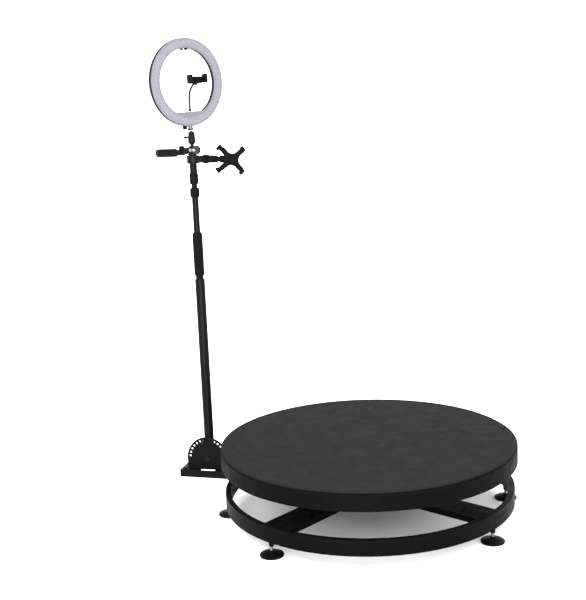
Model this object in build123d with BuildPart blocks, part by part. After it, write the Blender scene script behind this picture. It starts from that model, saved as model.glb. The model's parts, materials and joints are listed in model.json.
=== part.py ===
from build123d import *
import math
import os

os.makedirs("parts", exist_ok=True)

# A stage for one person with a camera mast that travels round it. Millimetres, +Z up.
# The origin is the point on the floor under the middle of the platform; the arm lies along -X.

# ---- driving dimensions -------------------------------------------------------------
platform_radius = 500.0
platform_bottom = 189.0
platform_top = 251.0
mat_thickness = 2.0
mat_skirt_bottom = 240.0
sheet = 3.0
platform_edge_radius = 9.0

ring_radius = 490.0
ring_width = 18.0
ring_bottom = 45.0
ring_top = 96.0
foot_circle_radius = ring_radius - ring_width / 2
base_heading = -71.5
cross_angle = base_heading + 135
cross_width = 100.0
cross_depth = 20.0
cross_top = 93.0
foot_spreads = (46.3, 93.3, 133.7)

pad_radius = 38.5
pad_edge_height = 6.0
pad_height = 13.0
cup_radius = 10.0
cup_height = 6.0
stud_radius = 5.0
stud_top = 78.0
boss_height = 13.0
boss_top_radius = 8.5
boss_bottom_radius = 7.5

post_radius = 25.0
post_bore_radius = 12.0
post_flange_radius = 75.0
post_flange_top = 97.0
bearing_radius = 40.0
bearing_width = 16.0
bearing_heights = (112.0, 180.0)
hub_radius = 52.0
hub_bottom = 105.0
hub_top = 219.0
seat_clearance = 0.05
running_gap = 0.3

belt_pulley_radius = 100.0
motor_pulley_radius = 20.0
belt_width = 12.0
belt_thickness = 2.5
belt_bottom = 201.0
motor_distance = 215.0
flange_height = 4.0

arm_width = 100.0
arm_bottom = 100.0
arm_height = 23.0
arm_end = 532.0
wall = 2.5

tray_half_width = 55.0
tray_inner = 440.0
tray_outer = 669.0
tray_bottom = 100.0
tray_top = 126.0
slot_length = 54.0
slot_width = 18.0
slot_offset = 41.0
slot_shift = 5.0

mast_x = -573.0
pivot_height = 162.0
plate_radius = 76.5
plate_y = -22.0
plate_thickness = 4.0
index_radius = 66.0
index_pitch = 12.0
index_hole_radius = 3.6
pivot_bolt_radius = 6.0

lower_tube_radius = 17.0
lower_tube_bottom = 186.0
lower_tube_top = 801.0
neck_top = 811.0
grip_radius = 17.5
grip_top = 963.0
stage_radii = (11.25, 9.75, 8.25)
stage_wall = 1.2
stage_1_bottom, stage_1_top = 640.0, 1098.0
stage_2_bottom, stage_2_top = 700.0, 1144.0
stage_3_bottom = 715.0
lower_collar_bottom, lower_collar_top, lower_collar_radius = 1084.0, 1115.0, 16.0
upper_collar_bottom, upper_collar_top, upper_collar_radius = 1128.0, 1165.0, 15.0
socket_radius = 12.5
socket_bottom, socket_top = 1165.5, 1226.0

clamp_centre_height = 1211.0
clamp_height = 27.0
clamp_radius = 20.5
side_arm_radius = 12.0
side_arm_end = 37.0
side_collar_end = 56.0
holder_droop = 2.0
holder_centre = 145.0
plate_turn = 3.5
claw_slope = 42.0
claw_reach = 54.0

spindle_radius = 4.0
spindle_depth = 14.0
pan_bottom = 1226.5
pan_top = 1231.0
tilt_axis_height = 1243.0
tilt_top = 1253.0
handle_height = 1235.0
handle_radius = 14.0
handle_outer = 130.0
ball_head_radius = 13.0
ball_head_bottom, ball_head_top = 1262.0, 1304.0
ball_centre_height = 1299.0
ball_radius = 8.0
ball_knob_height = 1285.0

lamp_rise = 168.0
lamp_yaw = -33.0
lamp_roll = 2.6
lamp_radius = 145.0
lamp_inner_radius = 111.0
lamp_chord_drop = 97.0
lamp_depth = 22.0
diffuser_depth = 7.0
shoe_rise = 10.0
gooseneck_radius = 3.6


def save(builder, name):
    """Label a finished piece and write its STEP file."""
    builder.part.label = name
    export_step(builder.part, f"parts/{name}.step")


def add_tube(plane, outer, inner, length):
    """Add a round tube of the given radii that starts on a plane."""
    with BuildSketch(plane) as profile:
        Circle(outer)
        Circle(inner, mode=Mode.SUBTRACT)
    extrude(profile.sketch, amount=length)


def add_rod(plane, radius, length, mode=Mode.ADD):
    """Add, or cut, a round rod that starts on a plane."""
    with BuildSketch(plane) as profile:
        Circle(radius)
    extrude(profile.sketch, amount=length, mode=mode)


def add_block(plane, width, height, length, mode=Mode.ADD):
    """Add, or cut, a rectangular block that starts on a plane, centred on its origin."""
    with BuildSketch(plane) as profile:
        Rectangle(width, height)
    extrude(profile.sketch, amount=length, mode=mode)


def level(x, y, z):
    """A horizontal plane, facing up, at a point."""
    return Plane(origin=(x, y, z), x_dir=(1, 0, 0), z_dir=(0, 0, 1))


def on_mast(z):
    """A horizontal plane, facing up, on the mast's axis."""
    return level(mast_x, 0, z)


# ---- base: ring, cross beams, feet ----------------------------------------------------
foot_angles = [base_heading + side * spread for spread in foot_spreads for side in (-1, 1)]

with BuildPart() as base_ring:
    add_tube(Plane.XY.offset(ring_bottom), ring_radius, ring_radius - ring_width, sheet)
    add_tube(Plane.XY.offset(ring_top - sheet), ring_radius, ring_radius - ring_width, sheet)
    add_tube(Plane.XY.offset(ring_bottom), ring_radius, ring_radius - sheet, ring_top - ring_bottom)
    inner_skin = ring_radius - ring_width
    add_tube(Plane.XY.offset(ring_bottom), inner_skin + sheet, inner_skin, ring_top - ring_bottom)
    for angle in foot_angles:
        centre = Vector(foot_circle_radius, 0, 0).rotate(Axis.Z, angle)
        with BuildSketch(level(centre.X, centre.Y, ring_bottom - boss_height)):
            Circle(boss_bottom_radius)
        with BuildSketch(level(centre.X, centre.Y, ring_bottom)):
            Circle(boss_top_radius)
        loft()
        bore_start = ring_bottom - boss_height - 1
        add_rod(level(centre.X, centre.Y, bore_start), stud_radius + running_gap,
                boss_height + sheet + 2, Mode.SUBTRACT)
save(base_ring, "base_ring")

cross_half_length = math.sqrt((ring_radius - ring_width) ** 2 - (cross_width / 2) ** 2)

with BuildPart() as cross_beams:
    # One beam runs right across; the other is two halves that butt against its sides.
    lengths = [(0, -cross_half_length, cross_half_length)]
    lengths += [(90, cross_width / 2, cross_half_length), (270, cross_width / 2, cross_half_length)]
    for turn, start, end in lengths:
        along = Plane.XY.offset(cross_top).rotated((0, 0, cross_angle + turn))
        middle = along.from_local_coords((((start + end) / 2), 0, 0))
        beam_plane = Plane(origin=middle, x_dir=along.x_dir, z_dir=(0, 0, -1))
        add_block(beam_plane, end - start, cross_width, cross_depth)
        hollow = Plane(origin=middle - Vector(0, 0, sheet), x_dir=along.x_dir, z_dir=(0, 0, -1))
        add_block(hollow, end - start, cross_width - 2 * sheet, cross_depth, Mode.SUBTRACT)
save(cross_beams, "cross_beams")

for number, angle in enumerate(foot_angles, start=1):
    centre = Vector(foot_circle_radius, 0, 0).rotate(Axis.Z, angle)
    with BuildPart() as foot:
        with BuildSketch(Plane(origin=centre, x_dir=(1, 0, 0), z_dir=(0, -1, 0))):
            with BuildLine():
                Line((0, 0), (pad_radius, 0))
                Line((pad_radius, 0), (pad_radius, pad_edge_height))
                ThreePointArc((pad_radius, pad_edge_height), (pad_radius * 0.62, pad_height * 0.85),
                              (cup_radius, pad_height))
                Line((cup_radius, pad_height), (cup_radius, pad_height + cup_height))
                Line((cup_radius, pad_height + cup_height), (stud_radius, pad_height + cup_height))
                Line((stud_radius, pad_height + cup_height), (stud_radius, stud_top))
                Line((stud_radius, stud_top), (0, stud_top))
                Line((0, stud_top), (0, 0))
            make_face()
        revolve(axis=Axis(centre, (0, 0, 1)))
    save(foot, f"foot_{number}")

# ---- centre post and bearings -----------------------------------------------------------
with BuildPart() as centre_post:
    add_rod(Plane.XY.offset(cross_top), post_flange_radius, post_flange_top - cross_top)
    add_rod(Plane.XY.offset(cross_top), post_radius, platform_top - mat_thickness - sheet - cross_top)
    full_height = platform_top - cross_top
    add_rod(Plane.XY.offset(cross_top), post_bore_radius, full_height, Mode.SUBTRACT)
save(centre_post, "centre_post")

race_thickness = 5.0
with BuildPart() as bearing_inner_races:
    for height in bearing_heights:
        bore = post_radius + seat_clearance
        add_tube(Plane.XY.offset(height), post_radius + race_thickness, bore, bearing_width)
save(bearing_inner_races, "bearing_inner_races")

with BuildPart() as bearing_outer_races:
    for height in bearing_heights:
        bore = bearing_radius - race_thickness
        add_tube(Plane.XY.offset(height), bearing_radius, bore, bearing_width)
save(bearing_outer_races, "bearing_outer_races")

# ---- platform -----------------------------------------------------------------------------
pan_top_face = platform_top - mat_thickness
pan_ceiling = pan_top_face - sheet
inlet_radius = 9.0
inlet_height = 216.0


def rounded_disc(bottom, top, radius, edge):
    """A disc with its top edge rounded."""
    with BuildPart() as disc:
        add_rod(Plane.XY.offset(bottom), radius, top - bottom)
        fillet(disc.edges().group_by(Axis.Z)[-1], edge)
    return disc.part


pan_core = rounded_disc(platform_bottom, pan_top_face, platform_radius - mat_thickness,
                        platform_edge_radius - mat_thickness)
mat_blank = rounded_disc(mat_skirt_bottom, platform_top, platform_radius, platform_edge_radius)

with BuildPart() as platform_pan:
    add(pan_core)
    add_rod(Plane.XY.offset(platform_bottom), platform_radius, mat_skirt_bottom - platform_bottom)
    inner_depth = pan_ceiling - platform_bottom
    add_rod(Plane.XY.offset(platform_bottom), platform_radius - sheet, inner_depth - platform_edge_radius,
            Mode.SUBTRACT)
    add_rod(Plane.XY.offset(platform_bottom), platform_radius - sheet - platform_edge_radius, inner_depth,
            Mode.SUBTRACT)
    inlet_plane = Plane(origin=(0, platform_radius - 20, inlet_height), x_dir=(1, 0, 0), z_dir=(0, 1, 0))
    add_rod(inlet_plane, inlet_radius + seat_clearance, 30, Mode.SUBTRACT)
save(platform_pan, "platform_pan")

# The mat turns down over the rounded edge of the pan.
with BuildPart() as platform_mat:
    add(mat_blank)
    add(pan_core, mode=Mode.SUBTRACT)
save(platform_mat, "platform_mat")

rib_count = 8
rib_bottom = 222.0
rib_thickness = 4.0
boss_radius = 90.0
with BuildPart() as platform_frame:
    rib_depth = pan_ceiling - rib_bottom
    add_tube(Plane.XY.offset(rib_bottom), boss_radius, post_radius + seat_clearance, rib_depth)
    rib_end = platform_radius - sheet - platform_edge_radius - 1
    with BuildSketch(Plane.XY.offset(rib_bottom)):
        rib_length = rib_end - boss_radius + 5
        with PolarLocations(boss_radius - 5 + rib_length / 2, rib_count, start_angle=180 / rib_count):
            Rectangle(rib_length, rib_thickness)
    extrude(amount=rib_depth)
save(platform_frame, "platform_frame")

cover_hole_radius = 60.0
with BuildPart() as platform_cover:
    add_tube(Plane.XY.offset(platform_bottom), platform_radius - sheet - 0.5, cover_hole_radius, sheet)
save(platform_cover, "platform_cover")

# ---- drive: motor, belt, pulleys, control box -----------------------------------------------
motor_radius = 40.0
motor_bottom = belt_bottom + belt_width + flange_height
motor_bore = stud_radius + seat_clearance
with BuildPart() as drive_motor:
    add_tube(level(motor_distance, 0, motor_bottom), motor_radius, motor_bore, pan_ceiling - motor_bottom)
    fillet(drive_motor.edges().group_by(Axis.Z)[0].sort_by(SortBy.RADIUS)[-1], 4)
save(drive_motor, "drive_motor")

flange_rise = 4.0
flange_thickness = 2.0
with BuildPart() as motor_pulley:
    pulley_base = belt_bottom - flange_thickness - 0.5
    pulley_height = belt_width + 2 * flange_thickness + 1
    add_rod(level(motor_distance, 0, pulley_base), motor_pulley_radius, pulley_height)
    for height in (pulley_base, pulley_base + pulley_height - flange_thickness):
        add_rod(level(motor_distance, 0, height), motor_pulley_radius + flange_rise, flange_thickness)
    add_rod(level(motor_distance, 0, pulley_base), stud_radius, pan_ceiling - pulley_base - 8)
save(motor_pulley, "motor_pulley")

with BuildPart() as hub_pulley:
    bore = hub_radius + seat_clearance
    add_tube(Plane.XY.offset(pulley_base), belt_pulley_radius, bore, pulley_height)
    for height in (pulley_base, pulley_base + pulley_height - flange_thickness):
        add_tube(Plane.XY.offset(height), belt_pulley_radius + flange_rise, bore, flange_thickness)
    with BuildSketch(Plane.XY.offset(pulley_base)):
        with PolarLocations((hub_radius + belt_pulley_radius) / 2, 6):
            Circle(14)
    extrude(amount=pulley_height, mode=Mode.SUBTRACT)
save(hub_pulley, "hub_pulley")


def add_belt_loop(clearance, mode=Mode.ADD):
    """Add, or cut, the loop that wraps both pulleys at a clearance from their faces."""
    with BuildSketch(Plane.XY.offset(belt_bottom)) as profile:
        Circle(belt_pulley_radius + clearance)
        with Locations((motor_distance, 0)):
            Circle(motor_pulley_radius + clearance)
        make_hull()
    extrude(profile.sketch, amount=belt_width, mode=mode)


with BuildPart() as drive_belt:
    add_belt_loop(running_gap + belt_thickness)
    add_belt_loop(running_gap, Mode.SUBTRACT)
save(drive_belt, "drive_belt")

control_box_x = -250.0
control_box_length, control_box_width = 120.0, 80.0
control_box_bottom = 214.0
with BuildPart() as control_box:
    add_block(level(control_box_x, 0, control_box_bottom), control_box_length, control_box_width,
              pan_ceiling - control_box_bottom)
    fillet(control_box.edges().filter_by(Axis.Z), 5)
save(control_box, "control_box")

with BuildPart() as power_inlet:
    add_rod(inlet_plane, inlet_radius, 20)
    add_rod(inlet_plane.offset(20), inlet_radius + 4, 2)
    add_rod(inlet_plane.offset(12), 2.8, 12, Mode.SUBTRACT)
save(power_inlet, "power_inlet")

# ---- travelling arm ---------------------------------------------------------------------------
with BuildPart() as arm_hub:
    add_tube(Plane.XY.offset(hub_bottom), hub_radius, bearing_radius + seat_clearance, hub_top - hub_bottom)
save(arm_hub, "arm_hub")

with BuildPart() as arm_beam:
    beam_middle = -(hub_radius + arm_end) / 2
    beam_length = arm_end - hub_radius
    add_block(level(beam_middle, 0, arm_bottom), beam_length + 50, arm_width, arm_height)
    inside = level(beam_middle, 0, arm_bottom + wall)
    add_block(inside, beam_length + 60, arm_width - 2 * wall, arm_height - 2 * wall, Mode.SUBTRACT)
    add_rod(Plane.XY.offset(arm_bottom - 1), hub_radius + seat_clearance, arm_height + 2, Mode.SUBTRACT)
    beyond = level(-arm_end - 50, 0, arm_bottom - 1)
    add_block(beyond, 100, arm_width + 2, arm_height + 2, Mode.SUBTRACT)
save(arm_beam, "arm_beam")

with BuildPart() as arm_tray:
    tray_middle = -(tray_inner + tray_outer) / 2
    tray_length = tray_outer - tray_inner
    add_block(level(tray_middle, 0, tray_bottom), tray_length, 2 * tray_half_width, tray_top - tray_bottom)
    fillet(arm_tray.edges().filter_by(Axis.X).group_by(Axis.Z)[-1], 3)
    under = level(tray_middle, 0, tray_bottom)
    inner_width = 2 * (tray_half_width - sheet)
    add_block(under, tray_length, inner_width, tray_top - sheet - tray_bottom, Mode.SUBTRACT)
    for side in (1, -1):
        with BuildSketch(level(mast_x + slot_shift, side * slot_offset, tray_top - sheet)):
            RectangleRounded(slot_length, slot_width, 4)
        extrude(amount=sheet, mode=Mode.SUBTRACT)
save(arm_tray, "arm_tray")


def upright(y):
    """A vertical plane facing -Y, at the mast's pivot, with +X to the right and +Z up."""
    return Plane(origin=(mast_x, y, pivot_height), x_dir=(1, 0, 0), z_dir=(0, -1, 0))


def add_rounded_upright(y, radius):
    """Add a plate on the tray with a half-round top centred on the pivot."""
    drop = pivot_height - tray_top
    with BuildSketch(upright(y)) as profile:
        Circle(radius)
        with Locations((0, -drop - radius)):
            Rectangle(2 * radius + 2, 2 * radius, mode=Mode.SUBTRACT)
        with Locations((0, -drop / 2)):
            Rectangle(2 * radius, drop)
        Circle(pivot_bolt_radius + seat_clearance, mode=Mode.SUBTRACT)
    extrude(profile.sketch, amount=plate_thickness)


index_count = 15
ear_radius = 26.0
# The near plate is a protractor with index holes; the far one is a plain ear.
with BuildPart() as mast_bracket:
    add_rounded_upright(plate_y + plate_thickness / 2, plate_radius)
    add_rounded_upright(-plate_y + plate_thickness / 2, ear_radius)
    with BuildSketch(upright(plate_y + plate_thickness / 2)):
        span = index_pitch * (index_count - 1)
        with PolarLocations(index_radius, index_count, start_angle=90 - span / 2, angular_range=span,
                            endpoint=True):
            Circle(index_hole_radius)
    extrude(amount=plate_thickness, mode=Mode.SUBTRACT)
save(mast_bracket, "mast_bracket")

head_thickness = 8.0
with BuildPart() as pivot_bolt:
    outer_face = abs(plate_y) + plate_thickness / 2
    bolt_start = upright(outer_face + head_thickness)
    add_rod(bolt_start, pivot_bolt_radius, 2 * (outer_face + head_thickness))
    for start in (outer_face + head_thickness, -outer_face):
        with BuildSketch(upright(start)):
            RegularPolygon(10, 6)
        extrude(amount=head_thickness)
save(pivot_bolt, "pivot_bolt")

pin_radius = 3.3
pin_angle = math.radians(90 + index_pitch)
pin_offset = (index_radius * math.cos(pin_angle), index_radius * math.sin(pin_angle))
with BuildPart() as index_pin:
    with BuildSketch(upright(plate_y + plate_thickness / 2)):
        with Locations(pin_offset):
            Circle(pin_radius)
    extrude(amount=plate_thickness + 6)
    with BuildSketch(upright(plate_y - plate_thickness / 2 - 0.5)):
        with Locations(pin_offset):
            SlotCenterToCenter(10, 8, rotation=90)
    extrude(amount=12)
save(index_pin, "index_pin")

# ---- mast -------------------------------------------------------------------------------------
with BuildPart() as mast_foot:
    foot_half_width = abs(plate_y) - plate_thickness / 2 - running_gap
    with BuildSketch(upright(foot_half_width)):
        Circle(18)
        with Locations((0, 16)):
            Rectangle(30, 32)
        Circle(pivot_bolt_radius + running_gap, mode=Mode.SUBTRACT)
    extrude(amount=2 * foot_half_width)
    add_rod(on_mast(pivot_height + 28), lower_tube_radius - 2 - seat_clearance, 60)
save(mast_foot, "mast_foot")

with BuildPart() as lower_tube:
    start = pivot_height + 32
    add_tube(on_mast(start), lower_tube_radius, lower_tube_radius - 2, lower_tube_top - start)
save(lower_tube, "lower_tube")

with BuildPart() as reducer_bush:
    bore = stage_radii[0] + seat_clearance
    plug_depth = 60.0
    add_tube(on_mast(lower_tube_top - plug_depth), lower_tube_radius - 2 - seat_clearance, bore, plug_depth)
    add_tube(on_mast(lower_tube_top), 13.0, bore, neck_top - lower_tube_top)
save(reducer_bush, "reducer_bush")

with BuildPart() as foam_grip:
    add_tube(on_mast(neck_top), grip_radius, stage_radii[0] + seat_clearance, grip_top - neck_top)
    fillet(foam_grip.edges().filter_by(GeomType.CIRCLE).sort_by(SortBy.RADIUS)[-2:], 4)
save(foam_grip, "foam_grip")

with BuildPart() as stage_1_tube:
    add_tube(on_mast(stage_1_bottom), stage_radii[0], stage_radii[0] - stage_wall,
             stage_1_top - stage_1_bottom)
save(stage_1_tube, "stage_1_tube")


def add_lock_collar(bottom, top, radius, outer_tube, inner_tube, tube_end):
    """Add a twist-lock collar: a wide bore round the outer tube, a narrow one round the inner."""
    add_rod(on_mast(bottom), radius, top - bottom)
    rim_edges = edges().filter_by(GeomType.CIRCLE)
    chamfer(rim_edges, 2)
    add_rod(on_mast(bottom), outer_tube + running_gap, tube_end + 1 - bottom, Mode.SUBTRACT)
    add_rod(on_mast(bottom), inner_tube + running_gap, top - bottom, Mode.SUBTRACT)


with BuildPart() as lower_collar:
    add_lock_collar(lower_collar_bottom, lower_collar_top, lower_collar_radius,
                    stage_radii[0], stage_radii[1], stage_1_top)
save(lower_collar, "lower_collar")

with BuildPart() as stage_2_tube:
    add_tube(on_mast(stage_2_bottom), stage_radii[1], stage_radii[1] - stage_wall,
             stage_2_top - stage_2_bottom)
save(stage_2_tube, "stage_2_tube")

with BuildPart() as upper_collar:
    add_lock_collar(upper_collar_bottom, upper_collar_top, upper_collar_radius,
                    stage_radii[1], stage_radii[2], stage_2_top)
save(upper_collar, "upper_collar")

with BuildPart() as stage_3_tube:
    add_tube(on_mast(stage_3_bottom), stage_radii[2], stage_radii[2] - stage_wall,
             socket_bottom - stage_3_bottom)
    add_rod(on_mast(socket_bottom), socket_radius, socket_top - socket_bottom)
    spindle_bore_start = pan_bottom - spindle_depth - 1
    add_rod(on_mast(spindle_bore_start), spindle_radius + running_gap, spindle_depth + 1, Mode.SUBTRACT)
save(stage_3_tube, "stage_3_tube")

# ---- side arm and tablet holder ------------------------------------------------------------------
def along_x(x, z):
    """A vertical plane facing +X, at a distance from the mast's axis."""
    return Plane(origin=(mast_x + x, 0, z), x_dir=(0, 1, 0), z_dir=(1, 0, 0))


with BuildPart() as side_clamp:
    clamp_bottom = clamp_centre_height - clamp_height / 2
    add_rod(on_mast(clamp_bottom), clamp_radius, clamp_height)
    add_rod(along_x(0, clamp_centre_height), side_arm_radius, side_arm_end)
    add_rod(on_mast(clamp_bottom), socket_radius + running_gap, clamp_height, Mode.SUBTRACT)
    screw_plane = Plane(origin=(mast_x, socket_radius, clamp_centre_height), x_dir=(1, 0, 0), z_dir=(0, 1, 0))
    add_rod(screw_plane, 3.3, clamp_radius, Mode.SUBTRACT)
    add_rod(along_x(side_arm_end - 10, clamp_centre_height), 5.3, 12, Mode.SUBTRACT)
save(side_clamp, "side_clamp")

with BuildPart() as clamp_screw:
    add_rod(screw_plane.offset(running_gap), 3.0, 16)
    with BuildSketch(screw_plane.offset(clamp_radius - socket_radius + 1)):
        RegularPolygon(10, 8)
    extrude(amount=12)
save(clamp_screw, "clamp_screw")

with BuildPart() as side_collar:
    add_tube(along_x(side_arm_end + 0.5, clamp_centre_height), 15, 5.3, side_collar_end - side_arm_end - 1)
    chamfer(side_collar.edges().filter_by(GeomType.CIRCLE).sort_by(SortBy.RADIUS)[-2:], 1.5)
save(side_collar, "side_collar")

# The holder hangs from the end of the side arm, turned a few degrees about Y.
holder_joint = Vector(mast_x + side_collar_end, 0, clamp_centre_height)
holder_right = Vector(1, 0, 0).rotate(Axis.Y, holder_droop)
link_length = 36.0
holder_pin_radius = 4.0
plate_front = 16.0
plate_depth = 6.0
with BuildPart() as holder_link:
    link_plane = Plane(origin=holder_joint, x_dir=(0, 1, 0), z_dir=holder_right)
    with BuildSketch(link_plane.offset(2)):
        Circle(13)
    with BuildSketch(link_plane.offset(link_length - 6)):
        Circle(12)
    loft()
    add_rod(link_plane.offset(link_length - 8), 9, 20)
    spigot_start = Plane(origin=holder_joint + Vector(8, 0, 0), x_dir=(0, 1, 0), z_dir=(-1, 0, 0))
    add_rod(spigot_start, 5.0, side_collar_end - side_arm_end + 16)
    knuckle = holder_joint + holder_right * (holder_centre - side_collar_end)
    knuckle_plane = Plane(origin=knuckle, x_dir=holder_right, z_dir=(0, -1, 0))
    add_rod(knuckle_plane.offset(-9), 14, plate_front + 8.5)
    arm_plane = Plane(origin=knuckle - holder_right * 46, x_dir=(0, 1, 0), z_dir=holder_right)
    add_block(arm_plane, 14, 24, 46)
    add_rod(knuckle_plane.offset(plate_front - 1), holder_pin_radius, plate_depth + 2)
save(holder_link, "holder_link")

claw_angles = [half_turn + side * claw_slope - plate_turn 
               for half_turn, side in ((0, 1), (180, -1), (180, 1), (360, -1))]
claw_travel = 28.0
plate_arm_length = 54.0
plate_arm_width = 17.0
plate_web_radius = 22.0
claw_pin_radius = 2.0
claw_pin_place = 20.0
holder_face = knuckle_plane.offset(plate_front)
with BuildPart() as holder_plate:
    with BuildSketch(holder_face):
        for angle in claw_angles:
            with Locations(Rotation(0, 0, angle)):
                with Locations((plate_arm_length / 2, 0)):
                    SlotCenterToCenter(plate_arm_length - plate_arm_width, plate_arm_width)
        offset(amount=plate_web_radius)
        offset(amount=-plate_web_radius)
    extrude(amount=plate_depth)
    with BuildSketch(holder_face):
        Circle(holder_pin_radius + running_gap)
        for angle in claw_angles:
            with Locations(Rotation(0, 0, angle)):
                with Locations((claw_pin_place + claw_travel / 2, 0)):
                    SlotCenterToCenter(claw_travel, 2 * (claw_pin_radius + running_gap))
    extrude(amount=plate_depth, mode=Mode.SUBTRACT)
save(holder_plate, "holder_plate")

for number, angle in enumerate(claw_angles, start=1):
    turned = Plane(origin=holder_face.origin, z_dir=holder_face.z_dir,
                   x_dir=holder_face.x_dir.rotate(Axis((0, 0, 0), holder_face.z_dir), angle))
    with BuildPart() as claw:
        with BuildSketch(turned.offset(plate_depth + running_gap)):
            with Locations(((claw_pin_place - 5 + claw_reach + 5) / 2, 0)):
                Rectangle(claw_reach - claw_pin_place + 10, 13)
        extrude(amount=4)
        with BuildSketch(turned.offset(0.5)):
            with Locations((claw_pin_place, 0)):
                Circle(claw_pin_radius)
        extrude(amount=plate_depth + 1)
        with BuildSketch(turned.offset(0.5)):
            with Locations((claw_reach + 5, 0)):
                Rectangle(6, 20)
        extrude(amount=23.5)
        with BuildSketch(turned.offset(20)):
            with Locations((claw_reach + 1, 0)):
                Rectangle(14, 20)
        extrude(amount=4)
        fillet(claw.edges().filter_by(Axis.Y).sort_by_distance(turned.origin)[-4:], 1.2)
    save(claw, f"claw_{number}")

# ---- pan and tilt head with its handle -------------------------------------------------------------
pan_radius = 16.5
cheek_radius = 9.0
cheek_inside, cheek_outside = 10.5, 15.5
lug_thickness = 4.0
tilt_knob_offset = 23.0
tilt_knob_radius = 15.0
tilt_knob_depth = 9.0
tilt_screw_radius = 3.0


def on_tilt_axis(y):
    """A vertical plane facing -Y, centred on the tilt axis."""
    return Plane(origin=(mast_x, y, tilt_axis_height), x_dir=(1, 0, 0), z_dir=(0, -1, 0))


with BuildPart() as pan_head:
    add_rod(on_mast(pan_bottom), pan_radius, pan_top - pan_bottom)
    for y in (cheek_outside, -cheek_inside):
        with BuildSketch(on_tilt_axis(y)):
            Circle(cheek_radius)
            with Locations((0, (pan_top - tilt_axis_height) / 2)):
                Rectangle(2 * cheek_radius, tilt_axis_height - pan_top)
        extrude(amount=cheek_outside - cheek_inside)
    with BuildSketch(on_tilt_axis(-cheek_outside)):
        with Locations((tilt_knob_offset / 2, 0)):
            SlotCenterToCenter(tilt_knob_offset, 2 * cheek_radius)
        with Locations((tilt_knob_offset, 0)):
            Circle(tilt_screw_radius + running_gap, mode=Mode.SUBTRACT)
    extrude(amount=lug_thickness)
    add_rod(on_mast(pan_bottom - spindle_depth), spindle_radius, spindle_depth)
    add_rod(on_tilt_axis(cheek_outside + 0.5), tilt_screw_radius, 2 * cheek_outside + 1)
save(pan_head, "pan_head")

with BuildPart() as tilt_knob:
    with BuildSketch(on_tilt_axis(-cheek_outside - lug_thickness - 0.5)):
        with Locations((tilt_knob_offset, 0)):
            Circle(tilt_knob_radius)
    extrude(amount=tilt_knob_depth)
    chamfer(tilt_knob.edges().group_by(Axis.Y)[0], 1.5)
    with BuildSketch(on_tilt_axis(-cheek_outside - 0.5)):
        with Locations((tilt_knob_offset, 0)):
            Circle(tilt_screw_radius)
    extrude(amount=lug_thickness + 1)
save(tilt_knob, "tilt_knob")

tilt_block_radius = 8.5
tilt_block_half_width = 10.0
tilt_disc_rise = 10.0
with BuildPart() as tilt_head:
    with BuildSketch(on_tilt_axis(tilt_block_half_width)):
        Circle(tilt_block_radius)
        with Locations((0, tilt_disc_rise / 2)):
            Rectangle(2 * tilt_block_radius, tilt_disc_rise)
        Circle(tilt_screw_radius + running_gap, mode=Mode.SUBTRACT)
    extrude(amount=2 * tilt_block_half_width)
    disc_bottom = tilt_axis_height + tilt_disc_rise - 0.5
    add_rod(on_mast(disc_bottom), 14, tilt_top + 3 - disc_bottom)
    add_rod(on_mast(tilt_top), 6, ball_head_bottom - tilt_top)
save(tilt_head, "tilt_head")

bar_radius = 4.5
bar_end = handle_outer - 12
root_width = 16.0
# Each block of the bar's root: its outer end, the height of its middle, its height and its length.
root_blocks = ((27.5, 1240.0, 22.0, 8.5), (19.0, 1243.5, 15.0, 12.0))
with BuildPart() as handle_bar:
    # The bar drops from the head to the level of the grip, then runs straight out.
    with BuildLine():
        FilletPolyline((mast_x - 7, 0, tilt_axis_height), (mast_x - 22, 0, handle_height),
                       (mast_x - bar_end, 0, handle_height), radius=8)
    drop = Vector(-15, 0, handle_height - tilt_axis_height)
    with BuildSketch(Plane(origin=(mast_x - 7, 0, tilt_axis_height), z_dir=drop)):
        Circle(bar_radius)
    sweep()
    for end, middle_height, block_height, block_length in root_blocks:
        root = Plane(origin=(mast_x - end, 0, middle_height), x_dir=(0, 1, 0), z_dir=(1, 0, 0))
        add_block(root, root_width, block_height, block_length)
    add(tilt_head.part, mode=Mode.SUBTRACT)
save(handle_bar, "handle_bar")

grip_start = 28.0
lock_end = 48.0
neck_radius = 9.5
wing_top = 22.5
wing_depth = 10.0
with BuildPart() as handle_grip:
    with BuildSketch(Plane(origin=(mast_x, 0, handle_height), x_dir=(-1, 0, 0), z_dir=(0, -1, 0))) as section:
        with BuildLine():
            bore = bar_radius + running_gap
            Polyline((grip_start, bore), (grip_start, neck_radius), (lock_end + 6, neck_radius),
                     (lock_end + 11, handle_radius), (handle_outer, handle_radius), (handle_outer, 0),
                     (bar_end + 1, 0), (bar_end + 1, bore), (grip_start, bore))
        make_face()
    revolve(section.sketch, axis=Axis((mast_x, 0, handle_height), (-1, 0, 0)))
    wing_middle = (neck_radius + wing_top) / 2
    wing = Plane(origin=(mast_x - grip_start, 0, handle_height + wing_middle - 1), x_dir=(0, 1, 0),
                 z_dir=(-1, 0, 0))
    add_block(wing, wing_depth, wing_top - neck_radius + 2, lock_end - grip_start)
save(handle_grip, "handle_grip")

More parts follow.
